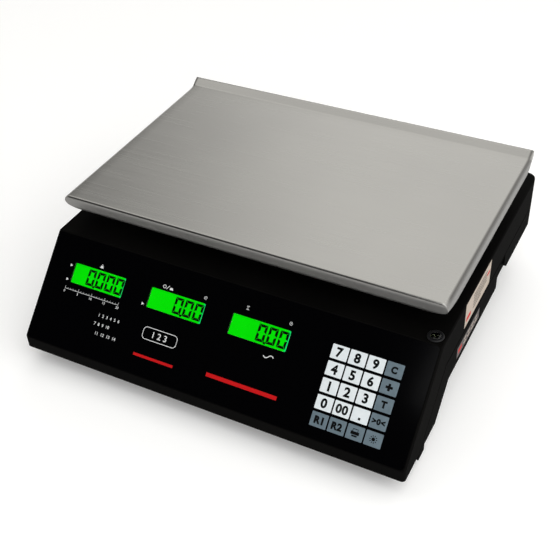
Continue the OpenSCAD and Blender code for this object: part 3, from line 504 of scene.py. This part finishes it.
def on_panel(across, up, out):
    """Points of the sloping panel: across to the right, up the slope from its upper edge, and out."""
    return np.stack([across + 0 * up, bend_y + up * np.cos(slope) - out * np.sin(slope),
                     deck_z + up * np.sin(slope) + out * np.cos(slope)], axis=-1)


rear_low, rear_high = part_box("rear_windows")
rear_middle_z = (rear_low.z + rear_high.z) / 2


def on_rear(across, up, out):
    """Points of the rear wall seen from behind: across to the right, up, and out of its face."""
    return np.stack([-across + 0 * up, case_high.y + out + 0 * up, rear_middle_z + up], axis=-1)


# Acrylic: clear, faintly green in its depth, polished.
clear_window, tree, spot = new_finish("clear_acrylic")
haze = add(tree, "TexNoise", {"Vector": spot, "Scale": 1 / 0.015, "Detail": 4.0})
dull = add(tree, "MapRange", {"Value": haze, "To Min": 0.0, "To Max": 0.01})
acrylic = add(tree, "BsdfPrincipled", {"Base Color": linear("f2fff4"), "Roughness": dull, "IOR": 1.49,
                                       "Transmission Weight": 1.0, "Specular IOR Level": 0.15})
add(tree, "OutputMaterial", {"Surface": acrylic})

window_w, window_h = 0.052, 0.0171
window_pitch, first_window, window_drop = 0.07675, -0.1216, 0.0231
rear_pitch = 0.072
lamp_reach = 0.003

# Backlit crystal: an even green glow, bluish at each module's right end, where its lamp sits.
lcd_greens = {}
for side_name, along_x, pitch_used, first in (("front", 1.0, window_pitch, first_window),
                                              ("rear", -1.0, rear_pitch, -rear_pitch)):
    lcd_greens[side_name], tree, spot = new_finish("backlit_crystal_" + side_name)
    uneven = add(tree, "TexNoise", {"Vector": spot, "Scale": 1 / 0.03, "Detail": 1.0})
    tone = add(tree, "Mix", {0: uneven, 6: linear("00dc00"), 7: linear("00f000")}, data_type="RGBA")
    place = add(tree, "SeparateXYZ", {0: spot})
    from_end = add(tree, "Math", {0: place.outputs["X"], 1: -along_x, 2: first + window_w / 2},
                   operation="MULTIPLY_ADD")
    from_end = add(tree, "Math", {0: from_end, 1: pitch_used, 2: 0.0}, operation="WRAP")
    near_lamp = add(tree, "MapRange", {"Value": from_end, "From Min": 0.0, "From Max": lamp_reach,
                                       "To Min": 1.0, "To Max": 0.0})
    tone = add(tree, "Mix", {0: near_lamp, 6: tone.outputs[2], 7: linear("0aec9c")}, data_type="RGBA")
    crystal = add(tree, "BsdfPrincipled", {"Base Color": linear("001a00"), "Roughness": 0.25,
                                           "Specular IOR Level": 0.1, "Emission Color": tone.outputs[2],
                                           "Emission Strength": 1.0})
    add(tree, "OutputMaterial", {"Surface": crystal})

# Switched segment: the crystal blocks the light and shows near-black green.
lcd_segment, tree, spot = new_finish("dark_crystal")
uneven = add(tree, "TexNoise", {"Vector": spot, "Scale": 1 / 0.004})
tone = add(tree, "Mix", {0: uneven, 6: linear("020803"), 7: linear("041206")}, data_type="RGBA")
dark = add(tree, "BsdfPrincipled", {"Base Color": tone.outputs[2], "Roughness": 0.4,
                                    "Specular IOR Level": 0.1})
add(tree, "OutputMaterial", {"Surface": dark})

# Window edges are painted black, so that no light runs round inside the block: they are the faces
# whose middles lie about half-way through its thickness.
edge_band = 0.001
for side_name, facing in (("front", (0.0, -np.sin(slope), np.cos(slope))), ("rear", (0.0, 1.0, 0.0))):
    window = dressed(side_name + "_windows", clear_window, edge=0.0001)
    second_finish(window, lambda middle: np.abs(middle @ facing - np.median(middle @ facing)) < edge_band,
                  chip_black)
    dressed(side_name + "_lcds", lcd_greens[side_name], edge=0.0003)

crystal_face = -0.00257
digit_w, digit_h, digit_pitch = 0.0078, 0.0138, 0.0094
digit_stroke = 0.0022
digit_lean = 0.03
last_digit_in = 0.0056
bar_gap = 0.00014
point_side = 0.0019
square = np.array([[-0.5, -0.5], [0.5, -0.5], [0.5, 0.5], [-0.5, 0.5]])
# A zero's six bars, mitred where they meet: one level and one upright bar, mirrored across and up.
half_w, half_h = digit_w / 2, digit_h / 2
level_bar = np.array([[half_w - bar_gap, half_h], [bar_gap - half_w, half_h],
                      [bar_gap + digit_stroke - half_w, half_h - digit_stroke],
                      [half_w - bar_gap - digit_stroke, half_h - digit_stroke]])
upright_bar = np.array([[half_w, bar_gap], [half_w, half_h - bar_gap],
                        [half_w - digit_stroke, half_h - bar_gap - digit_stroke],
                        [half_w - digit_stroke, bar_gap + digit_stroke / 2]])
zero_bars = [(level_bar * [1, up])[::up] for up in (1, -1)]
zero_bars += [(upright_bar * [side, up])[::side * up] for side in (1, -1) for up in (1, -1)]


def digit_outlines(text, right, middle):
    """Flat outlines of a reading of zeros and points, right-aligned: lists of points across and up."""
    outlines = []
    column = 0
    for mark in reversed(text):
        at = right - last_digit_in - column * digit_pitch
        if mark == ".":
            dot_at = [at + digit_pitch / 2 - digit_lean * half_h, middle - half_h]
            outlines.append(square * point_side + dot_at)
            continue
        column += 1
        outlines += [bar + digit_lean * bar[:, 1:] * [1, 0] + [at, middle] for bar in zero_bars]
    return outlines


def flat_print(name, outlines, surface, out):
    """Flat faces with those outlines, laid on a surface a little way out of it."""
    points = np.concatenate(outlines)
    sizes = [len(outline) for outline in outlines]
    starts = np.cumsum([0] + sizes[:-1])
    placed = surface(points[:, 0], points[:, 1], np.full(len(points), out))
    mesh = bpy.data.meshes.new(name)
    mesh.from_pydata(placed.tolist(), [], [list(range(a, a + n)) for a, n in zip(starts, sizes)])
    piece = bpy.data.objects.new(name, mesh)
    scene.collection.objects.link(piece)
    return piece


window_v = -window_drop - window_h / 2
readings = ("0.000", "0.00", "0.00")
for side_name, surface, pitch_used, first, middle in (
        ("front", on_panel, window_pitch, first_window, window_v),
        ("rear", on_rear, rear_pitch, -rear_pitch, 0.0)):
    outlines = []
    for i, reading in enumerate(readings):
        outlines += digit_outlines(reading, first + i * pitch_used + window_w / 2, middle)
    digits = flat_print(side_name + "_digits", outlines, surface, crystal_face)
    carried(digits, "base", lcd_segment)


# Panel film: glossy black polyester printed on its back and stuck to the panel,
# with holes for the windows and the keys.
# Polyester film: deep black, smooth, with the faintest ripple and a little dust.
overlay_film, tree, spot = new_finish("polyester_film")
ripple = add(tree, "TexNoise", {"Vector": spot, "Scale": 1 / 0.02, "Detail": 2.0})
dust = add(tree, "TexNoise", {"Vector": spot, "Scale": 1 / 0.0015, "Detail": 3.0})
speck = add(tree, "MapRange", {"Value": dust, "From Min": 0.74, "From Max": 0.8})
tone = add(tree, "Mix", {0: speck, 6: linear("020203"), 7: linear("101013")}, data_type="RGBA")
relief = add(tree, "Bump", {"Height": ripple, "Distance": 0.0001, "Strength": 0.15})
film = add(tree, "BsdfPrincipled", {"Base Color": tone.outputs[2], "Roughness": 0.1,
                                    "Specular IOR Level": 0.12, "Normal": relief})
add(tree, "OutputMaterial", {"Surface": film})
# The switch sheet under the keys is the same film, and is seen only as a dark line.
for sheet_node in ("panel_overlay", "keypad_sheet"):
    sheet_finishes = frame["nodes"][sheet_node].data.materials
    sheet_finishes.clear()
    sheet_finishes.append(overlay_film)


# Panel print: white, red and black ink on the film. It is generic: pictograms over
# the windows, pointers, a scale of plain numbers and two plain red stripes.
print_out = 0.00042


def band(path, width, closed=False):
    """Flat quads of one width along a path, joined end to start where it is closed."""
    after, before = np.roll(path, -1, axis=0), np.roll(path, 1, axis=0)
    if not closed:
        after[-1], before[0] = path[-1], path[0]
    along = (after - before) / np.linalg.norm(after - before, axis=1, keepdims=True)
    across = along[:, ::-1] * [-width / 2, width / 2]
    left, right = path + across, path - across
    if closed:
        left, right = np.concatenate([left, left[:1]]), np.concatenate([right, right[:1]])
    return list(np.stack([right[:-1], right[1:], left[1:], left[:-1]], axis=1))


def rounded_loop(width, height, radius, steps=6):
    """Outline of a rectangle with round corners, anticlockwise: quarter arcs joined by straight sides."""
    turn = np.linspace(0, np.pi / 2, steps)
    angles = np.concatenate([turn + k * np.pi / 2 for k in range(4)])
    sign_x = np.repeat([1, -1, -1, 1], steps)
    sign_y = np.repeat([1, 1, -1, -1], steps)
    return np.stack([sign_x * (width / 2 - radius) + radius * np.cos(angles),
                     sign_y * (height / 2 - radius) + radius * np.sin(angles)], axis=-1)


def lettering(name, words, height, surface, at, out, weight=0.0):
    """Words in Blender's own face as a flat mesh, centred at a place on a surface, with thicker strokes for
    more weight."""
    curve = bpy.data.curves.new(name, "FONT")
    curve.body = words
    curve.offset = weight
    curve.space_character = 1.0 + 2 * weight
    curve.resolution_u = 4
    text = bpy.data.objects.new(name, curve)
    scene.collection.objects.link(text)
    mesh = bpy.data.meshes.new_from_object(text.evaluated_get(bpy.context.evaluated_depsgraph_get()))
    bpy.data.objects.remove(text)
    points = np.zeros(len(mesh.vertices) * 3)
    mesh.vertices.foreach_get("co", points)
    points = points.reshape(-1, 3)[:, :2]
    points -= (points.min(0) + points.max(0)) / 2
    points *= height / np.ptp(points[:, 1])
    placed = surface(points[:, 0] + at[0], points[:, 1] + at[1], np.full(len(points), out))
    mesh.vertices.foreach_set("co", placed.ravel())
    piece = bpy.data.objects.new(name, mesh)
    scene.collection.objects.link(piece)
    return piece


# Screen ink: opaque, satin, a little uneven where the mesh left it thinner.
inks = {}
for ink_name, (ink_thin, ink_full) in {"white": ("c9cbcc", "f4f5f5"), "red": ("a80f12", "d8191c"),
                                        "black": ("020203", "070809")}.items():
    inks[ink_name], tree, spot = new_finish("screen_ink_" + ink_name)
    mesh_mark = add(tree, "TexNoise", {"Vector": spot, "Scale": 1 / 0.0006, "Detail": 2.0})
    tone = add(tree, "Mix", {0: mesh_mark, 6: linear(ink_thin), 7: linear(ink_full)}, data_type="RGBA")
    coat = add(tree, "BsdfPrincipled", {"Base Color": tone.outputs[2], "Roughness": 0.55,
                                        "Specular IOR Level": 0.08})
    add(tree, "OutputMaterial", {"Surface": coat})

# Marks, each round its own middle: a weight with its eye, a pointer, a stroke and a sum sign.
mark_turn = np.linspace(0, 2 * np.pi, 20, endpoint=False)
ring = np.stack([np.cos(mark_turn), np.sin(mark_turn)], axis=-1)
mass = np.array([[-0.0017, -0.0012], [0.0017, -0.0012], [0.0011, 0.0007], [-0.0011, 0.0007]])
pointer = np.array([[0.0013, 0.0], [-0.0011, 0.0012], [-0.0011, -0.0012]])
stroke = np.array([[-0.0012, -0.0015], [0.0012, 0.0015]])
total_sign = np.array([[0.0012, 0.0013], [-0.0011, 0.0013], [0.0003, 0.0], [-0.0011, -0.0013],
                       [0.0012, -0.0013]])
fine_line, thin_line, wave_line = 0.0003, 0.0005, 0.0007
eye_r, price_r, coin_r, coin_dot_r = 0.0006, 0.0013, 0.0012, 0.0004
# Their places on the panel, across from its middle and up from its upper edge.
weight_at, eye_at = [-0.1214, -0.0199], [-0.1214, -0.0186]
price_at, per_at, unit_at = [-0.0592, -0.0196], [-0.0560, -0.0196], [-0.0526, -0.0199]
total_at, wave_at, number_frame_at = [0.0170, -0.0160], [0.0456, -0.0475], [-0.0498, -0.0603]
coins_at = ((-0.0208, -0.0185), (0.0556, -0.0176))
pointers_at = ((-0.1505, -0.0262), (-0.1505, -0.0385), (-0.0740, -0.0385))
white_marks = [mass + weight_at] + band(eye_r * ring + eye_at, fine_line, closed=True)
white_marks += band(price_r * ring + price_at, thin_line, closed=True)
white_marks += band(stroke + per_at, thin_line) + [mass + unit_at]
white_marks += band(total_sign + total_at, thin_line)
for coin_at in coins_at:
    white_marks += band(coin_r * ring + coin_at, fine_line, closed=True) + [coin_dot_r * ring + coin_at]
white_marks += [pointer + at for at in pointers_at]
# The scale of plain numbers under the first window: a base line with long and short ticks.
ruler_from, ruler_to, ruler_v = -0.1500, -0.0960, -0.0463
long_every, long_tick, short_tick = 5, 0.0022, 0.0012
tick_u = np.linspace(ruler_from, ruler_to, 21)
tick_h = np.where(np.arange(len(tick_u)) % long_every == 0, long_tick, short_tick)
tick_corners = ((-0.5, 0), (0.5, 0), (0.5, 1), (-0.5, 1))
ticks = np.stack([np.stack([tick_u + side * fine_line, ruler_v + up * tick_h], axis=-1)
                  for side, up in tick_corners], axis=1)
white_marks += list(ticks) + band(np.array([[ruler_from, ruler_v], [ruler_to, ruler_v]]), fine_line)
# A rounded frame for three numbers, and a wave for the mains.
number_frame = (0.032, 0.0100, 0.0030)
white_marks += band(rounded_loop(*number_frame) + number_frame_at, thin_line, closed=True)
wave_half, wave_rise = 0.0044, 0.0013
wave = np.linspace(-1, 1, 25)
wave_path = np.stack([wave_half * wave, wave_rise * np.sin(np.pi * wave)], axis=-1)
white_marks += band(wave_path + wave_at, wave_line)
white_print = flat_print("white_print", white_marks, on_panel, print_out)
# Red stripes: from, to, height up the panel and width.
red_marks = []
for left, right, up, width in ((-0.0686, -0.0308, -0.0795, 0.0022), (-0.0007, 0.0622, -0.0760, 0.0032)):
    red_marks += band(np.array([[left, up], [right, up]]), width)
red_print = flat_print("red_print", red_marks, on_panel, print_out)
# Numbers, each row with its height and its place.
tick_digits, row_digits, framed_digits = 0.0021, 0.0026, 0.0052
numbers = [(str(k), tick_digits, (tick_u[k], ruler_v - tick_digits))
           for k in range(0, len(tick_u), long_every)]
numbers += [("1  2  3  4  5  6", row_digits, (-0.1000, -0.0590)),
            ("7  8  9  10", row_digits, (-0.1050, -0.0665)),
            ("11  12  13  14", row_digits, (-0.0985, -0.0740)),
            ("1 2 3", framed_digits, number_frame_at)]
# The windows' corners are rounded by black print: each mark is the corner less a quarter round.
corner_round, corner_lap = 0.0016, 0.0002
quarter = np.linspace(np.pi / 2, 0, 7)
corner_marks = []
for sign_x, sign_y in ((1, 1), (-1, 1), (-1, -1), (1, -1)):
    arc = corner_round * (np.stack([np.cos(quarter), np.sin(quarter)], axis=-1) - 1)
    corner = np.concatenate([[[corner_lap, corner_lap]], arc]) + [window_w / 2, window_h / 2]
    corner = (corner * [sign_x, sign_y])[::sign_x * sign_y]
    corner_marks += [corner + [first_window + k * window_pitch, window_v] for k in range(len(readings))]
corner_print = flat_print("corner_print", corner_marks, on_panel, print_out)
printed = [(white_print, "white"), (red_print, "red"), (corner_print, "black")]
number_weight = 0.01
printed += [(lettering("numbers_%d" % k, words, height, on_panel, at, print_out, number_weight), "white")
            for k, (words, height, at) in enumerate(numbers)]
for piece, ink_name in printed:
    carried(piece, "base", inks[ink_name])


# Switch marks: a white bar on the pressed half of the rocker, a ring on the other,
# pad-printed on its two faces.
rocker_joint = next(joint for joint in frame["joints"] if joint["name"] == "power_rocker")
rocker_at = np.array(rocker_joint["pos_m"])
rocker_tilt = np.radians(rocker_joint["range_deg"][1]) / 2
rocker_face = 0.001


def on_rocker(across, up, out):
    """Points of the rocker's faces: the lower half is upright, the upper leans out by twice the tilt."""
    lean = np.where(up > 0, 2 * rocker_tilt, 0.0)
    x = rocker_face * np.cos(rocker_tilt) + up * np.sin(lean) + out * np.cos(lean)
    z = up * np.cos(lean) - out * np.sin(lean) - rocker_face * np.sin(rocker_tilt)
    return np.stack([x, across, z], axis=-1) + rocker_at


off_r, off_up, off_line = 0.0016, 0.0050, 0.0006
on_from, on_to, on_line = -0.0068, -0.0032, 0.0008
switch_marks = band(off_r * ring + [0.0, off_up], off_line, closed=True)
switch_marks += band(np.array([[0.0, on_from], [0.0, on_to]]), on_line)
pad_ink = 0.00003
switch_print = flat_print("switch_print", switch_marks, on_rocker, pad_ink)
carried(switch_print, frame["nodes"]["switch_rocker"]["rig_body"], inks["white"])


# Side labels: two paper stickers pressed into the recesses of the right wall and
# printed with plain bars.
label_recess, paper_t = 0.0003, 0.00012
label_x = case_high.x - label_recess + paper_t


def on_right(across, up, out):
    """Points of the labels' faces seen from the right: across to the rear, up, and out."""
    return np.stack([label_x + out + 0 * up, across + 0 * up, up], axis=-1)


# Label paper: cream or dark, with soft fibres about 2 mm long.
label_papers = {}
for paper_name, (paper_dark, paper_light) in {"cream": ("a09284", "bcae9f"),
                                              "dark": ("2e2423", "433534")}.items():
    label_papers[paper_name], tree, spot = new_finish("label_paper_" + paper_name)
    fibre = add(tree, "TexNoise", {"Vector": spot, "Scale": 1 / 0.002, "Detail": 4.0, "Distortion": 2.0})
    tone = add(tree, "Mix", {0: fibre, 6: linear(paper_dark), 7: linear(paper_light)}, data_type="RGBA")
    paper = add(tree, "BsdfPrincipled", {"Base Color": tone.outputs[2], "Roughness": 0.55})
    add(tree, "OutputMaterial", {"Surface": paper})


def bars(label_at, sizes_and_places):
    """Flat bars on a label, each by its length and height and by its middle from the label's middle."""
    return [square * size + label_at + place for size, place in sizes_and_places]


upper_at, upper_size = np.array([-0.006, 0.08025]), (0.0634, 0.0249, 0.0010)
lower_at, lower_size = np.array([-0.023, 0.052]), (0.0554, 0.0114, 0.0008)
label_ink = 0.00002
long_row, short_row, pale_bar = (0.034, 0.0012), (0.020, 0.0012), (0.006, 0.0016)
grey_bars = bars(upper_at, [(long_row, (0.005, up)) for up in (0.0070, 0.0038, 0.0006, -0.0026)]
                 + [(short_row, (-0.002, -0.0058))])
red_bars = bars(upper_at, [((0.011, 0.0045), (-0.0225, -0.0060)), ((0.007, 0.0030), (0.026, 0.0020))])
red_bars += bars(lower_at, [((0.009, 0.0040), (-0.0200, 0.0))])
pale_bars = bars(lower_at, [(pale_bar, (across, up)) for across in (-0.008, 0.001, 0.010, 0.019)
                            for up in (-0.0022, 0.0020)])
labels = [("upper_label", [rounded_loop(*upper_size) + upper_at], label_papers["cream"], 0.0),
          ("lower_label", [rounded_loop(*lower_size) + lower_at], label_papers["dark"], 0.0),
          ("label_grey_bars", grey_bars, inks["black"], label_ink),
          ("label_red_bars", red_bars, inks["red"], label_ink),
          ("label_pale_bars", pale_bars, label_papers["cream"], label_ink)]
for label_name, outlines, finish, out in labels:
    carried(flat_print(label_name, outlines, on_right, out), "base", finish)


# Keypad: twenty keys of hard-coated polyester, each a low pillow that stands a
# little above the film and clicks down on the switch sheet.
# Key face: pale or slate grey ink under a satin coat, slightly mottled by use.
key_finishes = {}
for key_kind, (key_dark, key_light) in {"key_pale": ("d8e0e4", "eaf0f3"),
                                        "key_grey": ("566770", "6a7b86")}.items():
    key_finishes[key_kind], tree, spot = new_finish("coated_" + key_kind)
    mottle = add(tree, "TexNoise", {"Vector": spot, "Scale": 1 / 0.004, "Detail": 4.0})
    tone = add(tree, "Mix", {0: mottle, 6: linear(key_dark), 7: linear(key_light)}, data_type="RGBA")
    dull = add(tree, "MapRange", {"Value": mottle, "To Min": 0.35, "To Max": 0.55})
    face = add(tree, "BsdfPrincipled", {"Base Color": tone.outputs[2], "Roughness": dull})
    add(tree, "OutputMaterial", {"Surface": face})

key_w, key_h = 0.0138, 0.0114
key_gap_u, key_gap_v = 0.0010, 0.0019
pad_left, pad_top = 0.093, 0.0218
key_low, key_high = -0.0002, 0.0009
key_corner, least_corner = 0.0007, 0.0002
key_ease = 0.00015
key_round = 0.0003
key_crown, crown_from, crown_left = 0.00006, 0.001, 0.0006
ink_out = key_high + 0.000012
legends = [["7", "8", "9", "C"], ["4", "5", "6", "+"], ["1", "2", "3", "T"], ["0", "00", "point", ">0<"],
           ["R1", "R2", "sheet", "lamp"]]
key_names = [["7", "8", "9", "clear"], ["4", "5", "6", "memory"], ["1", "2", "3", "tare"],
             ["0", "00", "point", "zero"], ["recall_1", "recall_2", "print", "light"]]
# The pale keys have tall thin figures, the grey ones bold signs, smaller where there are three.
legend_heights = {"key_pale": [0.0077, 0.0073], "key_grey": [0.0056, 0.0060, 0.0048]}
legend_weights = {"key_pale": 0.042, "key_grey": 0.06}
# Drawn legends: a square point, a printer between its blank and its printed sheet, and a lamp with rays.
legend_line = 0.0006
key_point, point_at = 0.0018, [0, -0.0026]
printer, printer_at = [0.0068, 0.0024], [0, -0.0002]
printed_slip, slip_at = [0.0044, 0.0012], [0, -0.0024]
lamp_r, ray_from, ray_to = 0.0014, 0.0020, 0.0031
sheet_edge = np.array([[-0.0020, 0.0010], [-0.0020, 0.0028], [0.0020, 0.0028], [0.0020, 0.0010]])
drawn = {
    "point": [square * key_point + point_at],
    "sheet": [square * printer + printer_at, *band(sheet_edge, legend_line),
              square * printed_slip + slip_at],
    "lamp": [lamp_r * ring],
}
for way in ring[::2]:
    drawn["lamp"] += band(np.stack([ray_from * way, ray_to * way]), legend_line)
# A key's profile from its foot up the wall, over a small round and in to the crown.
turn = np.linspace(0, np.pi / 2, 5)
inset = key_ease + np.concatenate([[0.0], key_round * (1 - np.cos(turn)),
                                   np.linspace(crown_from, key_h / 2 - crown_left, 4)])
crown_fall = key_crown * np.array([0.75, 0.4, 0.15, 0.0])
rise = np.concatenate([[key_low], key_high - key_crown - key_round * (1 - np.sin(turn)),
                       key_high - crown_fall])
for row, row_names in enumerate(key_names):
    for column, key_name in enumerate(row_names):
        key_node = "key_" + key_name
        kind = "key_pale" if row < 4 and column < 3 else "key_grey"
        middle = (pad_left + key_w / 2 + column * (key_w + key_gap_u),
                  -pad_top - key_h / 2 - row * (key_h + key_gap_v))
        rings = np.stack([rounded_loop(key_w - 2 * i, key_h - 2 * i, max(key_corner - i, least_corner))
                          for i in inset])
        pillow = skin(key_node + "_pillow",
                      on_panel(rings[..., 0] + middle[0], rings[..., 1] + middle[1],
                               np.broadcast_to(rise[:, None], rings.shape[:2])), wrapped=True, capped=True)
        stand_for(pillow, key_node, key_finishes[kind])
        words = legends[row][column]
        legend_name = key_node + "_legend"
        if words in drawn:
            outlines = [outline + middle for outline in drawn[words]]
            legend = flat_print(legend_name, outlines, on_panel, ink_out)
        else:
            tall = legend_heights[kind][len(words) - 1]
            legend = lettering(legend_name, words, tall, on_panel, middle, ink_out, legend_weights[kind])
        carried(legend, key_node, inks["black"])


# Weighing pan: one sheet of 1 mm stainless steel, folded down at the front and
# sides and turned up at the rear, resting loose on the four cushions.
pan_low, pan_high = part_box("weighing_pan")
pan_top = 0.124
sheet = 0.001
front_bend = 0.0025
side_bend = 0.005
flange = 0.012
corner_rise, corner_run, corner_fade = 0.0050, 0.014, 0.03
flange_lean, lean_run = np.radians(9), 0.010
first_turn = np.radians(64)
lip_angle = np.radians(27)
lip_length = 0.010
lip_flange = 0.0056
lip_bend, lip_ease = 0.0015, 0.002
lip_before, lip_blend = 0.008, 0.018
pan_half = pan_high.x
pan_fold = pan_high.y - lip_length * np.cos(lip_angle)

# Across the pan: up the left flange, over its fold, along the deck, and down again.
flange_part = np.linspace(1, 0, 5)[:-1]
fold_part = np.linspace(-np.pi / 2, 0, 9)
deck_part = np.linspace(-1, 1, 41)[1:-1]
turned_by = np.concatenate([0 * flange_part - np.pi / 2, fold_part, 0 * deck_part, -fold_part[::-1],
                            0 * flange_part + np.pi / 2])
down_part = np.concatenate([flange_part, 0 * fold_part, 0 * deck_part, 0 * fold_part, flange_part[::-1]])
fold_at = np.concatenate([0 * flange_part - 1, 0 * fold_part - 1, deck_part, 0 * fold_part + 1,
                          0 * flange_part + 1])
# Along the pan: over the front fold, back over the deck, and up the rear lip.
front_turn = np.linspace(np.pi / 2, 0, 8)
rest_of_deck = np.linspace(pan_low.y + front_bend, pan_fold - lip_ease, 40)[1:]
lip_run = np.linspace(0, lip_length, 8)
row_y = np.concatenate([pan_low.y + front_bend * (1 - np.sin(front_turn)), rest_of_deck,
                        pan_fold + lip_run * np.cos(lip_angle)])
row_top = pan_top + np.concatenate([0 * front_turn, 0 * rest_of_deck, lip_run * np.sin(lip_angle)])
row_inset = np.concatenate([front_bend * (1 - np.cos(front_turn)), 0 * rest_of_deck, 0 * lip_run])
near_front = np.clip(1 - (row_y - pan_low.y) / corner_fade, 0, 1) ** 2
near_back = np.clip((row_y - pan_fold + lip_before) / lip_blend, 0, 1)
near_back = near_back ** 2 * (3 - 2 * near_back)
row_flange = (flange - corner_rise * near_front - (flange - lip_flange) * near_back)[:, None]
row_bend = (side_bend - (side_bend - lip_bend) * near_back)[:, None]
fold_r = row_bend - row_inset[:, None]
pan_x = fold_at * (pan_half - row_bend) + row_bend * np.sin(turned_by)
pan_z = row_top[:, None] - row_bend + fold_r * np.cos(turned_by) - down_part * (row_flange - row_bend)
# The front flange is bent a little past square, and the front ends of the side flanges follow it.
lean_fade = np.clip(1 - (row_y - pan_low.y) / lean_run, 0, 1)[:, None]
pan_y = row_y[:, None] + lean_fade * np.tan(flange_lean) * np.maximum(pan_top - front_bend - pan_z, 0)
body_rows = np.stack([pan_x, pan_y, pan_z], axis=-1)
# The front flange: flat, from the fold's foot down to an edge whose ends rise in a quarter of an ellipse.
end_turn = np.linspace(first_turn, 0, len(flange_part) + len(fold_part) - 1)
end_turn = np.concatenate([[np.pi / 2], end_turn])
straight_half = pan_half - corner_run
end_x = straight_half + corner_run * np.sin(end_turn)
edge_x = np.concatenate([-end_x, straight_half * deck_part, end_x[::-1]])
end_rise = corner_rise * (1 - np.cos(end_turn))
edge_rise = np.concatenate([end_rise, 0 * deck_part, end_rise[::-1]])
edge_y = pan_low.y + np.tan(flange_lean) * (flange - front_bend - edge_rise)
edge = np.stack([edge_x, edge_y, pan_top - flange + edge_rise], axis=-1)
share = np.linspace(1, 0, 7)[:-1, None, None]
front_rows = body_rows[0] * (1 - share) + edge * share
pan = skin("folded_pan", np.concatenate([front_rows, body_rows]), crease=60)
# The front flange's rows meet in one point at each end, which is welded before the sheet is thickened.
pan.modifiers.new("flange_ends", "WELD").merge_threshold = merge_gap
thickness = pan.modifiers.new("sheet", "SOLIDIFY")
thickness.thickness = sheet
thickness.offset = -1.0

# Stainless steel: finely ground along the width and satin, and duller on the flanges, which aren't ground.
# The flanges are also painted darker, as painted shade for the dark room that they mirror; grinding lines
# are drawn 1 mm apart so that they show.
stainless, tree, spot = new_finish("ground_stainless")
line_length, line_gap = 1 / 12, 1 / 900
stretch = add(tree, "Mapping", {"Vector": spot, "Scale": (1 / line_length, 1 / line_gap, 1 / line_gap)})
ground = add(tree, "TexNoise", {"Vector": stretch, "Scale": 1.0, "Detail": 4.0})
cloud = add(tree, "TexNoise", {"Vector": spot, "Scale": 1 / 0.12, "Detail": 2.0})
tone = add(tree, "Mix", {0: cloud, 6: linear("a4a3a0"), 7: linear("aeada9")}, data_type="RGBA")
place = add(tree, "SeparateXYZ", {0: spot})
# Depths below the deck at which the flanges' painted shade begins, at which it is full and the matt begins,
# and at which they are fully matt.
flange_shade_from, shade_full_and_matt_from, matt_from = 0.0004, 0.0014, 0.0020
# Painted shade: the flanges below the deck take a darker grey.
flange_painted_shade = add(tree, "MapRange", {"Value": place.outputs["Z"], "From Min": pan_top - shade_full_and_matt_from,
                                  "From Max": pan_top - flange_shade_from, "To Min": 1.0, "To Max": 0.0})
tone = add(tree, "Mix", {0: flange_painted_shade, 6: tone.outputs[2], 7: linear("878684")}, data_type="RGBA")
# A darker line of painted shade runs along each side fold, fading in behind the front fold.
line_w, line_from, line_full = 0.0034, 0.003, 0.010
off_centre = add(tree, "Math", {0: place.outputs["X"]}, operation="ABSOLUTE")
fold_painted_shade = add(tree, "MapRange", {"Value": off_centre, "From Min": pan_half - line_w,
                                 "From Max": pan_half, "To Min": 0.0, "To Max": 2.0})
fold_painted_shade = add(tree, "Math", {0: fold_painted_shade, 1: 1.0}, operation="PINGPONG")
off_front = add(tree, "MapRange", {"Value": place.outputs["Y"], "From Min": pan_low.y + line_from,
                                   "From Max": pan_low.y + line_full, "To Min": 0.0, "To Max": 1.0})
fold_painted_shade = add(tree, "Math", {0: fold_painted_shade, 1: off_front}, operation="MULTIPLY")
# Painted shade: the line along each side fold takes a darker grey.
tone = add(tree, "Mix", {0: fold_painted_shade, 6: tone.outputs[2], 7: linear("605f5d")}, data_type="RGBA")
dull = add(tree, "MapRange", {"Value": ground, "From Min": 0.3, "From Max": 0.7, "To Min": 0.20,
                              "To Max": 0.28})
matt = add(tree, "MapRange", {"Value": place.outputs["Z"], "From Min": pan_top - matt_from,
                              "From Max": pan_top - shade_full_and_matt_from, "To Min": 1.0, "To Max": 0.0})
dull = add(tree, "Mix", {0: matt, 2: dull, 3: 0.45})
relief = add(tree, "Bump", {"Height": ground, "Distance": 0.00001, "Strength": 0.12})
steel = add(tree, "BsdfPrincipled", {"Base Color": tone.outputs[2], "Roughness": dull, "Metallic": 1.0,
                                     "Normal": relief})
add(tree, "OutputMaterial", {"Surface": steel})
stand_for(pan, "weighing_pan", stainless)

# Locating rings: four bands of the same steel, spot-welded under the deck, that
# drop over the cushions and keep the pan from sliding.
ring_inner, ring_outer, ring_deep = 0.0103, 0.0113, 0.005
ring_edge = 0.0002
ring_turn = np.linspace(0, 2 * np.pi, 48, endpoint=False)
# The band's profile: down its inner face, over the rounded foot, up its outer face, back along the deck.
ring_r = np.array([ring_inner, ring_inner, ring_inner + ring_edge, ring_outer - ring_edge, ring_outer,
                   ring_outer, ring_inner])[:, None]
ring_z = pan_top - sheet - ring_deep * np.array([0, 1, 1, 1, 1, 0, 0])
ring_z += ring_edge * np.array([0, 1, 0, 0, 1, 0, 0])
posts_at = ((-0.115, -0.03525), (0.115, -0.03525), (-0.115, 0.08875), (0.115, 0.08875))
for k, post in enumerate(posts_at):
    around = np.stack([post[0] + ring_r * np.cos(ring_turn), post[1] + ring_r * np.sin(ring_turn),
                       np.broadcast_to(ring_z[:, None], (len(ring_z), len(ring_turn)))], axis=-1)
    locating_ring = skin("locating_ring_%d" % k, around, wrapped=True)
    locating_ring.modifiers.new("seam", "WELD").merge_threshold = merge_gap
    carried(locating_ring, "pan", stainless)
